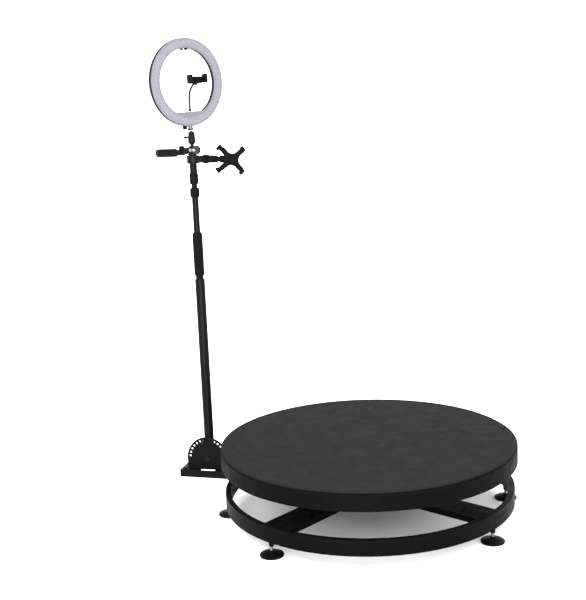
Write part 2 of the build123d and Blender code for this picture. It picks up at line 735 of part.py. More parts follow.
# ---- ball head ---------------------------------------------------------------------------------------
ball_opening_radius = 6.6
ball_knob_hole = 3.3
knob_plane = Plane(origin=(mast_x - 9, 0, ball_knob_height), x_dir=(0, 1, 0), z_dir=(-1, 0, 0))
with BuildPart() as ball_head:
    with BuildSketch(Plane(origin=(mast_x, 0, ball_head_bottom), x_dir=(1, 0, 0), z_dir=(0, -1, 0))):
        with BuildLine():
            rise = ball_head_top - ball_head_bottom
            Polyline((0, 0), (8, 0), (ball_head_radius, 6), (ball_head_radius, 11),
                     (ball_radius + 3, rise - 5), (ball_radius + 1, rise), (0, rise), (0, 0))
        make_face()
    revolve(axis=Axis((mast_x, 0, 0), (0, 0, 1)))
    with Locations((mast_x, 0, ball_centre_height)):
        Sphere(ball_radius + running_gap, mode=Mode.SUBTRACT)
    add_rod(on_mast(ball_centre_height), ball_opening_radius, 20, Mode.SUBTRACT)
    add_rod(knob_plane, ball_knob_hole, 10, Mode.SUBTRACT)
save(ball_head, "ball_head")

with BuildPart() as ball_knob:
    add_rod(knob_plane.offset(0.5), ball_knob_hole - running_gap, 6)
    with BuildSketch(knob_plane.offset(5)):
        RegularPolygon(4.5, 8)
    extrude(amount=13)
save(ball_knob, "ball_knob")

# ---- ring lamp ------------------------------------------------------------------------------------------
ball_centre = Vector(mast_x, 0, ball_centre_height)
lamp_front = Vector(1, 0, 0).rotate(Axis.Z, lamp_yaw)
lamp_tilt = Axis((0, 0, 0), lamp_front)
lamp_right = Vector(0, 1, 0).rotate(Axis.Z, lamp_yaw).rotate(lamp_tilt, lamp_roll)
lamp_up = Vector(0, 0, 1).rotate(lamp_tilt, lamp_roll)
lamp_centre = ball_centre + lamp_up * lamp_rise


def in_lamp(u, v, w):
    """A point u right, v up and w in front of the lamp's centre."""
    return lamp_centre + lamp_right * u + lamp_up * v + lamp_front * w


def facing_lamp(u, v, w):
    """A plane that faces the way the lamp shines, at a point given in the lamp's own frame."""
    return Plane(origin=in_lamp(u, v, w), x_dir=lamp_right, z_dir=lamp_front)


shoe_base = Plane(origin=ball_centre + lamp_up * shoe_rise, x_dir=lamp_right, z_dir=lamp_up)
with BuildPart() as ball_stud:
    with Locations(ball_centre):
        Sphere(ball_radius)
    stud_length = shoe_rise - 4
    add_rod(shoe_base.offset(-stud_length), 3.0, stud_length)
save(ball_stud, "ball_stud")


def add_lamp_outline(w, depth, inset, mode=Mode.ADD):
    """Add, or cut, the ring with its filled bottom segment, drawn in by an inset."""
    with BuildSketch(facing_lamp(0, 0, w)) as profile:
        Circle(lamp_radius - inset)
        Circle(lamp_inner_radius + inset, mode=Mode.SUBTRACT)
        with BuildSketch():
            Circle(lamp_inner_radius + inset + 1)
            with Locations((0, lamp_radius - lamp_chord_drop - inset)):
                Rectangle(2 * lamp_radius, 2 * lamp_radius, mode=Mode.SUBTRACT)
    extrude(profile.sketch, amount=depth, mode=mode)


shoe_centre = -1.5
shoe_depth = 9.0
neck_half_width = 7.0
shoe_floor = 3.5
neck_bottom = shoe_rise + shoe_floor - lamp_rise
with BuildPart() as lamp_housing:
    add_lamp_outline(-lamp_depth / 2, lamp_depth - diffuser_depth, 0)
    with BuildSketch(facing_lamp(0, neck_bottom, shoe_centre - shoe_depth / 2)):
        with BuildLine():
            Polyline((-16, 22), (-neck_half_width, 5), (-neck_half_width, 0), (neck_half_width, 0),
                     (neck_half_width, 5), (16, 22), (-16, 22))
        make_face()
    extrude(amount=shoe_depth)
    power_socket = facing_lamp(-22, 3 - lamp_radius, -8)
    add_block(power_socket, 13, 10, 10)
    add_lamp_outline(-lamp_depth / 2 + 3, lamp_depth, 3, Mode.SUBTRACT)
save(lamp_housing, "lamp_housing")

with BuildPart() as led_board:
    add_lamp_outline(-lamp_depth / 2 + 3.2, 1.6, 4)
save(led_board, "led_board")

with BuildPart() as lamp_diffuser:
    add_lamp_outline(lamp_depth / 2 - diffuser_depth, diffuser_depth, 0)
    add_lamp_outline(lamp_depth / 2 - diffuser_depth, diffuser_depth - 2.5, 3, Mode.SUBTRACT)
save(lamp_diffuser, "lamp_diffuser")

shoe_cheek = 2.5
with BuildPart() as lamp_shoe:
    shoe_middle = Plane(origin=shoe_base.origin + lamp_front * shoe_centre, x_dir=lamp_right, z_dir=lamp_up)
    slot_width_in_shoe = 2 * (neck_half_width + seat_clearance)
    add_block(shoe_middle, slot_width_in_shoe + 2 * shoe_cheek, shoe_depth, 7)
    add_block(shoe_middle.offset(shoe_floor), slot_width_in_shoe, shoe_depth, 7, Mode.SUBTRACT)
save(lamp_shoe, "lamp_shoe")

gooseneck_rise = 1.2
gooseneck_points = [(6, gooseneck_rise - lamp_chord_drop, -3), (6, -52, -2), (7, -27, 6), (9, -8, 25),
                    (9, -5, 35)]
with BuildPart() as gooseneck:
    bends = [in_lamp(*point) for point in gooseneck_points]
    with BuildLine():
        FilletPolyline(*bends, radius=(60, 45, 18))
    with BuildSketch(Plane(origin=bends[0], z_dir=bends[1] - bends[0])):
        Circle(gooseneck_radius)
    sweep()
save(gooseneck, "gooseneck")

clamp_w = 40.0
clamp_left, clamp_right = -24.0, 38.0
end_thickness = 6.0
end_width, end_depth = 30.0, 24.0
end_middle = 9.0
lip_reach = 10.0
lip_thickness = 4.0


def add_clamp_end(u, inwards):
    """Add one end of the phone clamp with the lip that reaches inwards over the phone."""
    add_block(facing_lamp(u, end_middle, clamp_w), end_thickness, end_width, end_depth)
    lip = facing_lamp(u + 2 * inwards, end_middle, clamp_w + end_depth - lip_thickness)
    add_block(lip, lip_reach, end_width, lip_thickness)


with BuildPart() as phone_clamp_body:
    spine_end = clamp_right - end_thickness / 2 - 2
    add_block(facing_lamp((clamp_left + spine_end) / 2, 5, clamp_w), spine_end - clamp_left, 22, 6)
    add_clamp_end(clamp_left, 1)
    add_rod(facing_lamp(9, -4, clamp_w - 3.5), 8, 4)
save(phone_clamp_body, "phone_clamp_body")

slider_length = 39.0
with BuildPart() as phone_clamp_jaw:
    slider_middle = clamp_right - slider_length / 2
    add_block(facing_lamp(slider_middle, 5, clamp_w + 6 + running_gap), slider_length, 12, 4)
    add_clamp_end(clamp_right, -1)
save(phone_clamp_jaw, "phone_clamp_jaw")
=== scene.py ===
import json
import math

import bmesh
import bpy
from mathutils import Matrix, Vector, noise


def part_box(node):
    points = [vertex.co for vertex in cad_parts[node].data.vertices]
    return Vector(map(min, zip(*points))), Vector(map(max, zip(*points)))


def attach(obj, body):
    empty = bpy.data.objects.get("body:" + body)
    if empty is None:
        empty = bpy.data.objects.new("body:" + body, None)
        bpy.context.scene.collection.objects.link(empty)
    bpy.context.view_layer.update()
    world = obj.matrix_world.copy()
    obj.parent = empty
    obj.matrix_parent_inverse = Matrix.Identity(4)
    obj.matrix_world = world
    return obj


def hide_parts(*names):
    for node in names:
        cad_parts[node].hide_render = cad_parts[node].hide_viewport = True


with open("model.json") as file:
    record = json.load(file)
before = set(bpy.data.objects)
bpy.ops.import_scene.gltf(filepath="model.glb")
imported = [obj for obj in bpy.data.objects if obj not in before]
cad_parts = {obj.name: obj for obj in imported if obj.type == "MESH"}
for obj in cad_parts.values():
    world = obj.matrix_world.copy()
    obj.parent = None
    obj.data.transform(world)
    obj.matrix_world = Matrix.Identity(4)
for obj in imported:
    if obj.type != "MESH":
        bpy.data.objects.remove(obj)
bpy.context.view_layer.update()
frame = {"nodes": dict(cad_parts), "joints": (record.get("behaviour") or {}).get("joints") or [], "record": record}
nodes = frame["nodes"]
joints = {joint["name"]: joint for joint in frame["joints"]}

UP = Vector((0, 0, 1))
FULL_TURN = 2 * math.pi


# ---- camera ----
def make_camera():
    """Stand at the front right of the stand, looking down at it a little and leaning a little."""
    heading, tilt, lean = math.radians(15.9), math.radians(10.29), 0.0425
    right = Vector((math.cos(heading), math.sin(heading), 0))
    level_ahead = UP.cross(right)
    ahead = level_ahead * math.cos(tilt) - UP * math.sin(tilt)
    above = right.cross(ahead)
    camera_x = right * math.cos(lean) - above * math.sin(lean)
    camera_y = above * math.cos(lean) + right * math.sin(lean)
    data = bpy.data.cameras.new("camera")
    data.lens = 62.79
    data.clip_end = 60
    camera = bpy.data.objects.new("camera", data)
    bpy.context.scene.collection.objects.link(camera)
    turned = Matrix((camera_x, camera_y, -ahead)).transposed()
    viewpoint = (0.7111, -3.3466, 1.3617)
    camera.matrix_world = Matrix.Translation(viewpoint) @ turned.to_4x4()
    bpy.context.scene.camera = camera


# ---- materials ----
class Look:
    """A material under construction, whose textures are laid out in the row frame."""

    def __init__(self, name, **sockets):
        self.material = bpy.data.materials.new(name)
        self.material.use_nodes = True
        self.tree = self.material.node_tree
        self.shader = self.tree.nodes["Principled BSDF"]
        self.place = self.node("ShaderNodeTexCoord").outputs["Object"]
        for socket, value in sockets.items():
            self.shader.inputs[socket.replace("_", " ")].default_value = value

    def node(self, kind, **settings):
        made = self.tree.nodes.new(kind)
        for setting, value in settings.items():
            setattr(made, setting, value)
        return made

    def link(self, output, target):
        if isinstance(target, str):
            target = self.shader.inputs[target]
        self.tree.links.new(output, target)

    def stretched(self, scale):
        """The texture position, scaled differently along each axis."""
        mapping = self.node("ShaderNodeMapping")
        mapping.inputs["Scale"].default_value = scale
        self.link(self.place, mapping.inputs["Vector"])
        return mapping.outputs["Vector"]

    def noise(self, scale, detail=3.0, stretch=(1, 1, 1)):
        texture = self.node("ShaderNodeTexNoise")
        texture.inputs["Scale"].default_value = scale
        texture.inputs["Detail"].default_value = detail
        self.link(self.stretched(stretch), texture.inputs["Vector"])
        return texture.outputs["Fac"]

    def cells(self, scale, feature="F1"):
        texture = self.node("ShaderNodeTexVoronoi", feature=feature)
        texture.inputs["Scale"].default_value = scale
        self.link(self.place, texture.inputs["Vector"])
        return texture.outputs["Distance"]

    def ranged(self, value, low, high, to_low, to_high):
        spread = self.node("ShaderNodeMapRange", interpolation_type="SMOOTHSTEP")
        for socket, number in zip(("From Min", "From Max", "To Min", "To Max"),
                                  (low, high, to_low, to_high)):
            spread.inputs[socket].default_value = number
        self.link(value, spread.inputs["Value"])
        return spread.outputs["Result"]

    def math(self, operation, first, second=None):
        step = self.node("ShaderNodeMath", operation=operation)
        for socket, value in zip(step.inputs, (first, second)):
            if isinstance(value, (int, float)):
                socket.default_value = value
            elif value is not None:
                self.link(value, socket)
        return step.outputs["Value"]

    def mixed(self, share, first, second):
        """A colour between two, where each is three numbers or another node's output."""
        mix = self.node("ShaderNodeMix", data_type="RGBA")
        self.link(share, mix.inputs[0])
        for socket, colour in ((mix.inputs[6], first), (mix.inputs[7], second)):
            if isinstance(colour, tuple):
                socket.default_value = (*colour, 1)
            else:
                self.link(colour, socket)
        return mix.outputs[2]

    def worn_edges(self, radius, low=0.02, high=0.12):
        """Where the surface turns sharply within a radius, 0 to 1."""
        soft = self.node("ShaderNodeBevel", samples=4)
        soft.inputs["Radius"].default_value = radius
        true = self.node("ShaderNodeNewGeometry")
        agree = self.node("ShaderNodeVectorMath", operation="DOT_PRODUCT")
        self.link(soft.outputs["Normal"], agree.inputs[0])
        self.link(true.outputs["Normal"], agree.inputs[1])
        sharp = self.math("SUBTRACT", 1.0, agree.outputs["Value"])
        patches = self.ranged(self.noise(60, 4), 0.35, 0.65, 0.15, 1.0)
        return self.math("MULTIPLY", self.ranged(sharp, low, high, 0, 1), patches)

    def bumps(self, height, strength, distance):
        bump = self.node("ShaderNodeBump")
        bump.inputs["Strength"].default_value = strength
        bump.inputs["Distance"].default_value = distance
        self.link(height, bump.inputs["Height"])
        self.link(bump.outputs["Normal"], "Normal")


def scaled(colour, factor):
    return tuple(channel * factor for channel in colour)


def powder_coat(name, colour, rough=(0.42, 0.6), grain=1500, wear=0.05, bump=0.35, specular=0.04):
    """Baked powder paint: orange-peel grain, a soft cloudy tone and edges rubbed a little paler."""
    look = Look(name, Metallic=0.0, Specular_IOR_Level=specular)
    cloudy = look.ranged(look.noise(7, 4), 0.3, 0.7, 0, 1)
    body = look.mixed(cloudy, scaled(colour, 0.85), scaled(colour, 1.15))
    rubbed = look.math("MULTIPLY", look.worn_edges(0.0012), wear)
    look.link(look.mixed(rubbed, body, (0.22, 0.22, 0.225)), "Base Color")
    look.link(look.ranged(look.noise(45, 5), 0.3, 0.7, *rough), "Roughness")
    look.bumps(look.noise(grain, 2), bump, 0.0003)
    return look.material


def rubber_mat(name, colour, shaded_rim_colour):
    """A fine pebbled anti-slip sheet, dull and a little cloudy, with its colour painted darker as shade where it
    turns down at the rim.
    """
    look = Look(name, Specular_IOR_Level=0.03)
    cloudy = look.ranged(look.noise(2.2, 3), 0.3, 0.7, 0, 1)
    top = look.mixed(cloudy, scaled(colour, 0.98), scaled(colour, 1.02))
    height = look.node("ShaderNodeSeparateXYZ")
    look.link(look.place, height.inputs["Vector"])
    # painted shade: the rim, where the sheet turns down, gets a much darker copy of its top colour
    on_top = look.ranged(height.outputs["Z"], 0.2440, 0.2502, 0, 1)
    look.link(look.mixed(on_top, shaded_rim_colour, top), "Base Color")
    look.link(look.ranged(look.noise(30, 5), 0.3, 0.7, 0.78, 0.9), "Roughness")
    pebbles = look.ranged(look.cells(620), 0.1, 0.6, 1, 0)
    look.bumps(pebbles, 0.3, 0.0004)
    return look.material


def soft_rubber(name, colour, scale=900):
    """Moulded rubber with a fine dull skin and a trace of bloom."""
    look = Look(name, Specular_IOR_Level=0.06)
    bloom = look.ranged(look.noise(35, 5), 0.35, 0.7, 0, 1)
    look.link(look.mixed(bloom, scaled(colour, 0.85), scaled(colour, 1.5)), "Base Color")
    look.link(look.ranged(bloom, 0, 1, 0.62, 0.8), "Roughness")
    look.bumps(look.noise(scale, 3), 0.3, 0.00025)
    return look.material


def closed_foam(name, colour):
    """Closed-cell foam: small dimpled cells with painted shade in their hollows, very dull."""
    look = Look(name, Specular_IOR_Level=0.05)
    # painted shade: the dimples' hollows get a darker copy of the foam's colour
    cell = look.ranged(look.cells(1100), 0.0, 0.55, 0, 1)
    pressed = look.ranged(look.noise(28, 4), 0.35, 0.7, 0, 1)
    tone = look.mixed(pressed, scaled(colour, 0.8), scaled(colour, 1.35))
    look.link(look.mixed(cell, scaled(colour, 0.6), tone), "Base Color")
    look.link(look.ranged(pressed, 0, 1, 0.78, 0.92), "Roughness")
    look.bumps(cell, 0.6, 0.0004)
    return look.material


def plated_steel(name, colour, rough=(0.22, 0.42), brush=(900, 900, 60)):
    """Bright plated or ground steel with fine draw lines and a cloudy passivated tone."""
    look = Look(name, Metallic=1.0)
    cloud = look.ranged(look.noise(90, 5), 0.3, 0.7, 0, 1)
    lines = look.noise(1.0, 2, brush)
    look.link(look.mixed(cloud, scaled(colour, 0.8), scaled(colour, 1.1)), "Base Color")
    look.link(look.ranged(lines, 0.3, 0.7, *rough), "Roughness")
    look.bumps(lines, 0.15, 0.0001)
    return look.material


def anodised_tube(name, colour):
    """Black anodised aluminium tube, drawn lengthwise, rubbed brighter in faint streaks."""
    look = Look(name, Metallic=0.05, Specular_IOR_Level=0.06)
    streaks = look.noise(1.0, 4, (500, 500, 6))
    rubbed = look.ranged(look.noise(1.0, 5, (160, 160, 14)), 0.55, 0.8, 0, 0.35)
    tone = look.mixed(streaks, scaled(colour, 0.8), scaled(colour, 1.3))
    look.link(look.mixed(rubbed, tone, scaled(colour, 2.6)), "Base Color")
    look.link(look.ranged(streaks, 0.3, 0.7, 0.3, 0.42), "Roughness")
    look.bumps(streaks, 0.12, 0.0001)
    return look.material


def moulded_plastic(name, colour, rough=(0.4, 0.55), grain=2200):
    """Injection-moulded plastic with a fine spark-eroded grain and slightly shiny wear."""
    look = Look(name, Specular_IOR_Level=0.05)
    handled = look.ranged(look.noise(22, 4), 0.35, 0.7, 0, 1)
    body = look.mixed(handled, scaled(colour, 0.85), scaled(colour, 1.25))
    rubbed = look.math("MULTIPLY", look.worn_edges(0.0008), 0.1)
    look.link(look.mixed(rubbed, body, scaled(colour, 4.0)), "Base Color")
    look.link(look.ranged(handled, 0, 1, *rough), "Roughness")
    look.bumps(look.noise(grain, 2), 0.3, 0.00015)
    return look.material


def solder_mask(name, colour):
    """White lamp board with faint copper tracks under the mask."""
    look = Look(name, Specular_IOR_Level=0.5)
    tracks = look.ranged(look.noise(120, 1, (1, 1, 3)), 0.47, 0.53, 0, 1)
    look.link(look.mixed(tracks, scaled(colour, 0.88), colour), "Base Color")
    look.link(look.ranged(look.noise(300, 2), 0.3, 0.7, 0.35, 0.5), "Roughness")
    look.bumps(tracks, 0.2, 0.0001)
    return look.material


def milky_diffuser(name, colour, lamp):
    """Opal plastic: paler along the middle of its band and darker towards its edges as painted shade, with a soft
    spot over each lamp.
    """
    look = Look(name, Specular_IOR_Level=0.2, Subsurface_Weight=0.15, Subsurface_Scale=0.004)
    offset = look.node("ShaderNodeVectorMath", operation="SUBTRACT")
    look.link(look.place, offset.inputs[0])
    offset.inputs[1].default_value = lamp.centre

    def along(direction):
        part = look.node("ShaderNodeVectorMath", operation="DOT_PRODUCT")
        look.link(offset.outputs["Vector"], part.inputs[0])
        part.inputs[1].default_value = direction
        return part.outputs["Value"]

    u, v = along(lamp.right), along(lamp.up)
    squares = look.math("ADD", look.math("MULTIPLY", u, u), look.math("MULTIPLY", v, v))
    radius = look.math("SQRT", squares)
    turn = look.math("MULTIPLY", look.math("ARCTAN2", v, u), lamp.spots_round / FULL_TURN)
    sideways = look.math("SUBTRACT", look.math("FRACT", turn), 0.5)
    sideways = look.math("MULTIPLY", sideways, FULL_TURN * lamp.band_radius / lamp.spots_round)
    row = look.math("DIVIDE", look.math("SUBTRACT", radius, lamp.spot_radii[0]), lamp.spot_gap)
    outward = look.math("SUBTRACT", look.math("FRACT", look.math("ADD", row, 0.5)), 0.5)
    outward = look.math("MULTIPLY", outward, lamp.spot_gap)
    squares = look.math("ADD", look.math("MULTIPLY", sideways, sideways),
                        look.math("MULTIPLY", outward, outward))
    spot = look.ranged(look.math("SQRT", squares), 0.0008, 0.004, 1, 0)
    # painted shade: the colour darkens from the middle of the band towards its inner and outer edges
    middle = look.math("ABSOLUTE", look.math("SUBTRACT", radius, lamp.band_radius))
    shaded = look.ranged(middle, 0.004, 0.0175, 0, 1)
    tone = look.mixed(shaded, scaled(colour, 1.1), scaled(colour, 0.86))
    spots = look.math("MULTIPLY", spot, 0.2)
    look.link(look.mixed(spots, tone, scaled(colour, 1.5)), "Base Color")
    look.link(look.ranged(look.noise(400, 3), 0.3, 0.7, 0.38, 0.48), "Roughness")
    look.bumps(look.noise(900, 2), 0.1, 0.0001)
    return look.material


# ---- the lamp's own axes and sizes ----
class Lamp:
    """The ring lamp's centre, its directions and the sizes of its band."""

    low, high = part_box("lamp_diffuser")
    right = Vector(joints["lamp_tilt"]["axis"]).normalized()
    front = right.cross(UP).normalized()
    up = front.cross(right)
    radius = (high.z - low.z) / 2
    ball = Vector(joints["lamp_tilt"]["pos_m"])
    rise = ((high.z + low.z) / 2 - ball.z) / up.z
    centre = ball + up * rise
    shoe_base = 0.010 - rise
    inner = 0.111
    chord = 0.097
    back, seam, face = -0.011, 0.004, 0.011
    band_radius = (radius + inner) / 2
    spots_round = 96
    spot_gap = 0.0085
    spot_radii = (band_radius - spot_gap, band_radius, band_radius + spot_gap)
    board_top = back + 0.0048

    @classmethod
    def at(cls, u, v, w):
        """A point u to the right, v up and w in front of the lamp's centre."""
        return cls.centre + cls.right * u + cls.up * v + cls.front * w


# ---- mesh tools ----
def placed(origin, z_axis, x_axis=None):
    """The placement whose Z runs along one direction and whose X lies nearest another."""
    z = Vector(z_axis).normalized()
    if x_axis is None:
        x_axis = (1, 0, 0) if abs(z.x) < 0.9 else (0, 1, 0)
    x = Vector(x_axis)
    x = (x - z * x.dot(z)).normalized()
    place = Matrix((x, z.cross(x), z)).transposed().to_4x4()
    place.translation = Vector(origin)
    return place


def rounded(points, radius, closed=False, steps=4):
    """The same outline with each corner replaced by a small curve."""
    count = len(points)
    result = []
    for index, point in enumerate(points):
        here = Vector(point)
        if not closed and index in (0, count - 1):
            result.append(here)
            continue
        before, after = Vector(points[index - 1]), Vector(points[(index + 1) % count])
        back, ahead = before - here, after - here
        start = here + back.normalized() * min(radius, back.length * 0.45)
        end = here + ahead.normalized() * min(radius, ahead.length * 0.45)
        for step in range(steps + 1):
            t = step / steps
            result.append(start * (1 - t) ** 2 + here * 2 * t * (1 - t) + end * t * t)
    return result


def bridge(bm, first, second):
    """Faces between two loops, where either may be a single point."""
    count = max(len(first), len(second))
    for index in range(count):
        after = (index + 1) % count
        if len(first) == 1:
            bm.faces.new((first[0], second[after], second[index]))
        elif len(second) == 1:
            bm.faces.new((first[index], first[after], second[0]))
        else:
            bm.faces.new((first[index], first[after], second[after], second[index]))


def ring_round(bm, place, steps, height, reach):
    """Vertices round a placement's Z at one height; reach gives their distance from it by angle."""
    ring = []
    for step in range(steps):
        angle = FULL_TURN * step / steps
        r = reach(angle)
        ring.append(bm.verts.new(place @ Vector((r * math.cos(angle), r * math.sin(angle), height))))
    return ring


def cap_ends(bm, rings):
    """Close a row of joined rings with a face at each end."""
    for first, second in zip(rings, rings[1:]):
        bridge(bm, first, second)
    bm.faces.new(list(reversed(rings[0])))
    bm.faces.new(rings[-1])


def lathe(bm, profile, place, steps=64, shape=None, closed=False):
    """Turn (radius, height) pairs round a placement's Z; shape scales the radius by angle and height."""
    rings = []
    for radius, height in profile:
        if radius < 1e-7:
            rings.append([bm.verts.new(place @ Vector((0, 0, height)))])
            continue

        def reach(angle):
            return radius * shape(angle, height) if shape else radius

        rings.append(ring_round(bm, place, steps, height, reach))
    if closed:
        rings.append(rings[0])
    for first, second in zip(rings, rings[1:]):
        bridge(bm, first, second)


def prism(bm, outline, depth, place):
    """A solid with a flat outline, from a placement's XY plane up its Z."""
    ends = []
    for height in (0, depth):
        ends.append([bm.verts.new(place @ Vector((x, y, height))) for x, y in outline])
    bridge(bm, *ends)
    bm.faces.new(list(reversed(ends[0])))
    bm.faces.new(ends[1])


def slab(bm, size, place, corner=0.0):
    """A block centred on a placement's origin in X and Y, rising along its Z."""
    x, y = size[0] / 2, size[1] / 2
    outline = [(-x, -y), (x, -y), (x, y), (-x, y)]
    if corner:
        outline = rounded(outline, corner, closed=True)
    prism(bm, outline, size[2], place)


def section(place, width, height, squareness=0.4, steps=28):
    """A closed loop like a rounded rectangle in a placement's XY plane."""
    loop = []
    for step in range(steps):
        angle = FULL_TURN * (step + 0.5) / steps
        c, s = math.cos(angle), math.sin(angle)
        x = math.copysign(abs(c) ** squareness, c) * width / 2
        y = math.copysign(abs(s) ** squareness, s) * height / 2
        loop.append(place @ Vector((x, y, 0)))
    return loop


def loft(bm, loops):
    """A closed solid through a row of loops with the same number of points."""
    cap_ends(bm, [[bm.verts.new(point) for point in loop] for loop in loops])


def hexagon(bm, across_corners, height, place, chamfer=0.12):
    """A bolt head or nut: six flats with its top and bottom corners turned off."""
    half = across_corners / 2
    flat = half * math.cos(math.pi / 6)
    turned_off = flat * 0.97
    cut = height * chamfer
    rings = []
    for limit, z in ((turned_off, 0), (half, cut), (half, height - cut), (turned_off, height)):
        def reach(angle):
            off_flat = (angle + math.pi / 6) % (math.pi / 3) - math.pi / 6
            return min(flat / math.cos(off_flat), limit)

        rings.append(ring_round(bm, place, 48, z, reach))
    cap_ends(bm, rings)


def thread(bm, radius, pitch, length, place, steps=24):
    """A threaded rod with a chamfered end."""
    depth = pitch * 0.55
    rings_per_pitch = 4
    count = int(length / pitch * rings_per_pitch)
    rings = [[bm.verts.new(place @ Vector((0, 0, 0)))]]
    for level in range(count + 1):
        height = length * level / count
        end_taper = min(1, 0.7 + (length - height) / pitch * 0.2)

        def reach(angle):
            phase = (height / pitch - angle / FULL_TURN) % 1
            return (radius - depth * abs(2 * phase - 1)) * end_taper

        rings.append(ring_round(bm, place, steps, height, reach))
    rings.append([bm.verts.new(place @ Vector((0, 0, length)))])
    for first, second in zip(rings, rings[1:]):
        bridge(bm, first, second)


def tube_along(bm, points, radius_at, steps=20):
    """A solid round rod along a row of points; radius_at gives its radius at a distance along it."""
    side = None
    travelled = 0.0
    rings = []
    for index, point in enumerate(points):
        before = points[max(index - 1, 0)]
        after = points[min(index + 1, len(points) - 1)]
        ahead = (after - before).normalized()
        if side is None:
            side = ahead.orthogonal().normalized()
        side = (side - ahead * side.dot(ahead)).normalized()
        other = ahead.cross(side)
        if index:
            travelled += (point - points[index - 1]).length
        radius = radius_at(travelled)
        ring = []
        for step in range(steps):
            angle = FULL_TURN * step / steps
            ring.append(bm.verts.new(point + (side * math.cos(angle) + other * math.sin(angle)) * radius))
        rings.append(ring)
    cap_ends(bm, rings)


def piece(name, bm, body, slot, look=None, replaced=(), bevel=0.0, smooth_angle=35):
    """Turn finished mesh data into a piece that rides on a body and wears a material."""
    bmesh.ops.recalc_face_normals(bm, faces=bm.faces)
    mesh = bpy.data.meshes.new(name)
    bm.to_mesh(mesh)
    bm.free()
    mesh.shade_smooth()
    mesh.set_sharp_from_angle(angle=math.radians(smooth_angle))
    mesh.materials.append(look or looks[slot])
    made = bpy.data.objects.new(name, mesh)
    bpy.context.scene.collection.objects.link(made)
    if bevel:
        edge = made.modifiers.new("soft_edges", "BEVEL")
        edge.width = bevel
        edge.segments = 3
        edge.limit_method = "ANGLE"
        edge.angle_limit = math.radians(40)
        edge.harden_normals = True
    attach(made, body)
    if replaced:
        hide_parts(*replaced)
    return made


def turned_piece(name, body, slot, profile, place, steps=64, shape=None, closed=False, **finish):
    """A piece that is a single turned solid."""
    bm = bmesh.new()
    lathe(bm, profile, place, steps, shape, closed)
    return piece(name, bm, body, slot, **finish)


def middle_of(node):
    low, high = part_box(node)
    return (low + high) / 2


# ---- finishes, one for each slot of the record ----
looks = {
    "base_paint": powder_coat("base_paint", (0.0008, 0.0008, 0.0009), specular=0.025),
    "platform_paint": powder_coat("platform_paint", (0.0008, 0.0008, 0.0009), rough=(0.5, 0.66),
                                  specular=0.025),
    # the mat's second colour is the painted shade on its turned-down rim
    "mat_surface": rubber_mat("mat_surface", (0.0090, 0.0090, 0.0095), (0.0009, 0.0009, 0.0010)),
    "arm_paint": powder_coat("arm_paint", (0.0022, 0.0022, 0.0023)),
    "zinc": plated_steel("zinc", (0.20, 0.20, 0.205)),
    "foot_black": moulded_plastic("foot_black", (0.0012, 0.0012, 0.0012)),
    "bearing_steel": plated_steel("bearing_steel", (0.5, 0.5, 0.5), rough=(0.15, 0.3), brush=(60, 60, 1500)),
    "cast_aluminium": plated_steel("cast_aluminium", (0.45, 0.45, 0.46), rough=(0.35, 0.55),
                                   brush=(300, 300, 300)),
    "belt_rubber": soft_rubber("belt_rubber", (0.0026, 0.0026, 0.0026)),
    "case_plastic": moulded_plastic("case_plastic", (0.008, 0.008, 0.008)),
    "mast_anodised": anodised_tube("mast_anodised", (0.0014, 0.0014, 0.0016)),
    "black_plastic": moulded_plastic("black_plastic", (0.0012, 0.0012, 0.0013)),
    "foam": closed_foam("foam", (0.0022, 0.0022, 0.0023)),
    "black_metal": powder_coat("black_metal", (0.0022, 0.0022, 0.0023), rough=(0.28, 0.42), grain=2600,
                               bump=0.15,
                               specular=0.08),
    "circuit_board": solder_mask("circuit_board", (0.28, 0.28, 0.27)),
    "diffuser": milky_diffuser("diffuser", (0.118, 0.117, 0.136), Lamp),
}
cap_grey = moulded_plastic("cap_grey", (0.022, 0.022, 0.0235), rough=(0.3, 0.4))
phosphor = moulded_plastic("phosphor", (0.26, 0.22, 0.08), rough=(0.3, 0.4))


def dress_cad_nodes():
    """Give every CAD node the look of its slot."""
    for part in frame["record"]["subparts"]:
        mesh = nodes[part["node"]].data
        mesh.materials.clear()
        mesh.materials.append(looks[part["material_slot"]])


# ---- base ----
def make_foot(body):
    """A levelling foot: ribbed rubber sole, domed black cup, lock nut and threaded stud."""
    low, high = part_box(body)
    x, y = (low.x + high.x) / 2, (low.y + high.y) / 2
    pad_radius = (high.x - low.x) / 2
    sole_top, edge_top, dome_top, boss_top, nut_top = 0.0030, 0.0060, 0.0130, 0.0160, 0.0190
    place = placed((x, y, 0), UP)

    sole = [(0, 0), (pad_radius * 0.94, 0), (pad_radius * 0.99, 0.0006), (pad_radius * 0.99, sole_top),
            (0, sole_top)]
    turned_piece(f"{body}_pad", body, "belt_rubber", rounded(sole, 0.0005), place, steps=192,
                 shape=lambda angle, height: 1 - 0.012 * (0.5 + 0.5 * math.cos(angle * 48)))

    cup = [(0, sole_top - 0.0004), (pad_radius, sole_top - 0.0004), (pad_radius, edge_top - 0.0008),
           (pad_radius * 0.96, edge_top + 0.0010), (pad_radius * 0.62, dome_top * 0.85), (0.0120, dome_top),
           (0.0100, dome_top + 0.0006), (0.0095, boss_top), (0, boss_top)]
    turned_piece(f"{body}_cup", body, "foot_black", rounded(cup, 0.0014), place, steps=72)

    bm = bmesh.new()
    hexagon(bm, 0.0170, nut_top - boss_top, place @ Matrix.Translation((0, 0, boss_top)))
    piece(f"{body}_nut", bm, body, "foot_black")

    bm = bmesh.new()
    start = nut_top - 0.002
    thread(bm, 0.005, 0.0015, high.z - start, place @ Matrix.Translation((0, 0, start)))
    piece(f"{body}_stud", bm, body, "zinc", replaced=(body,))


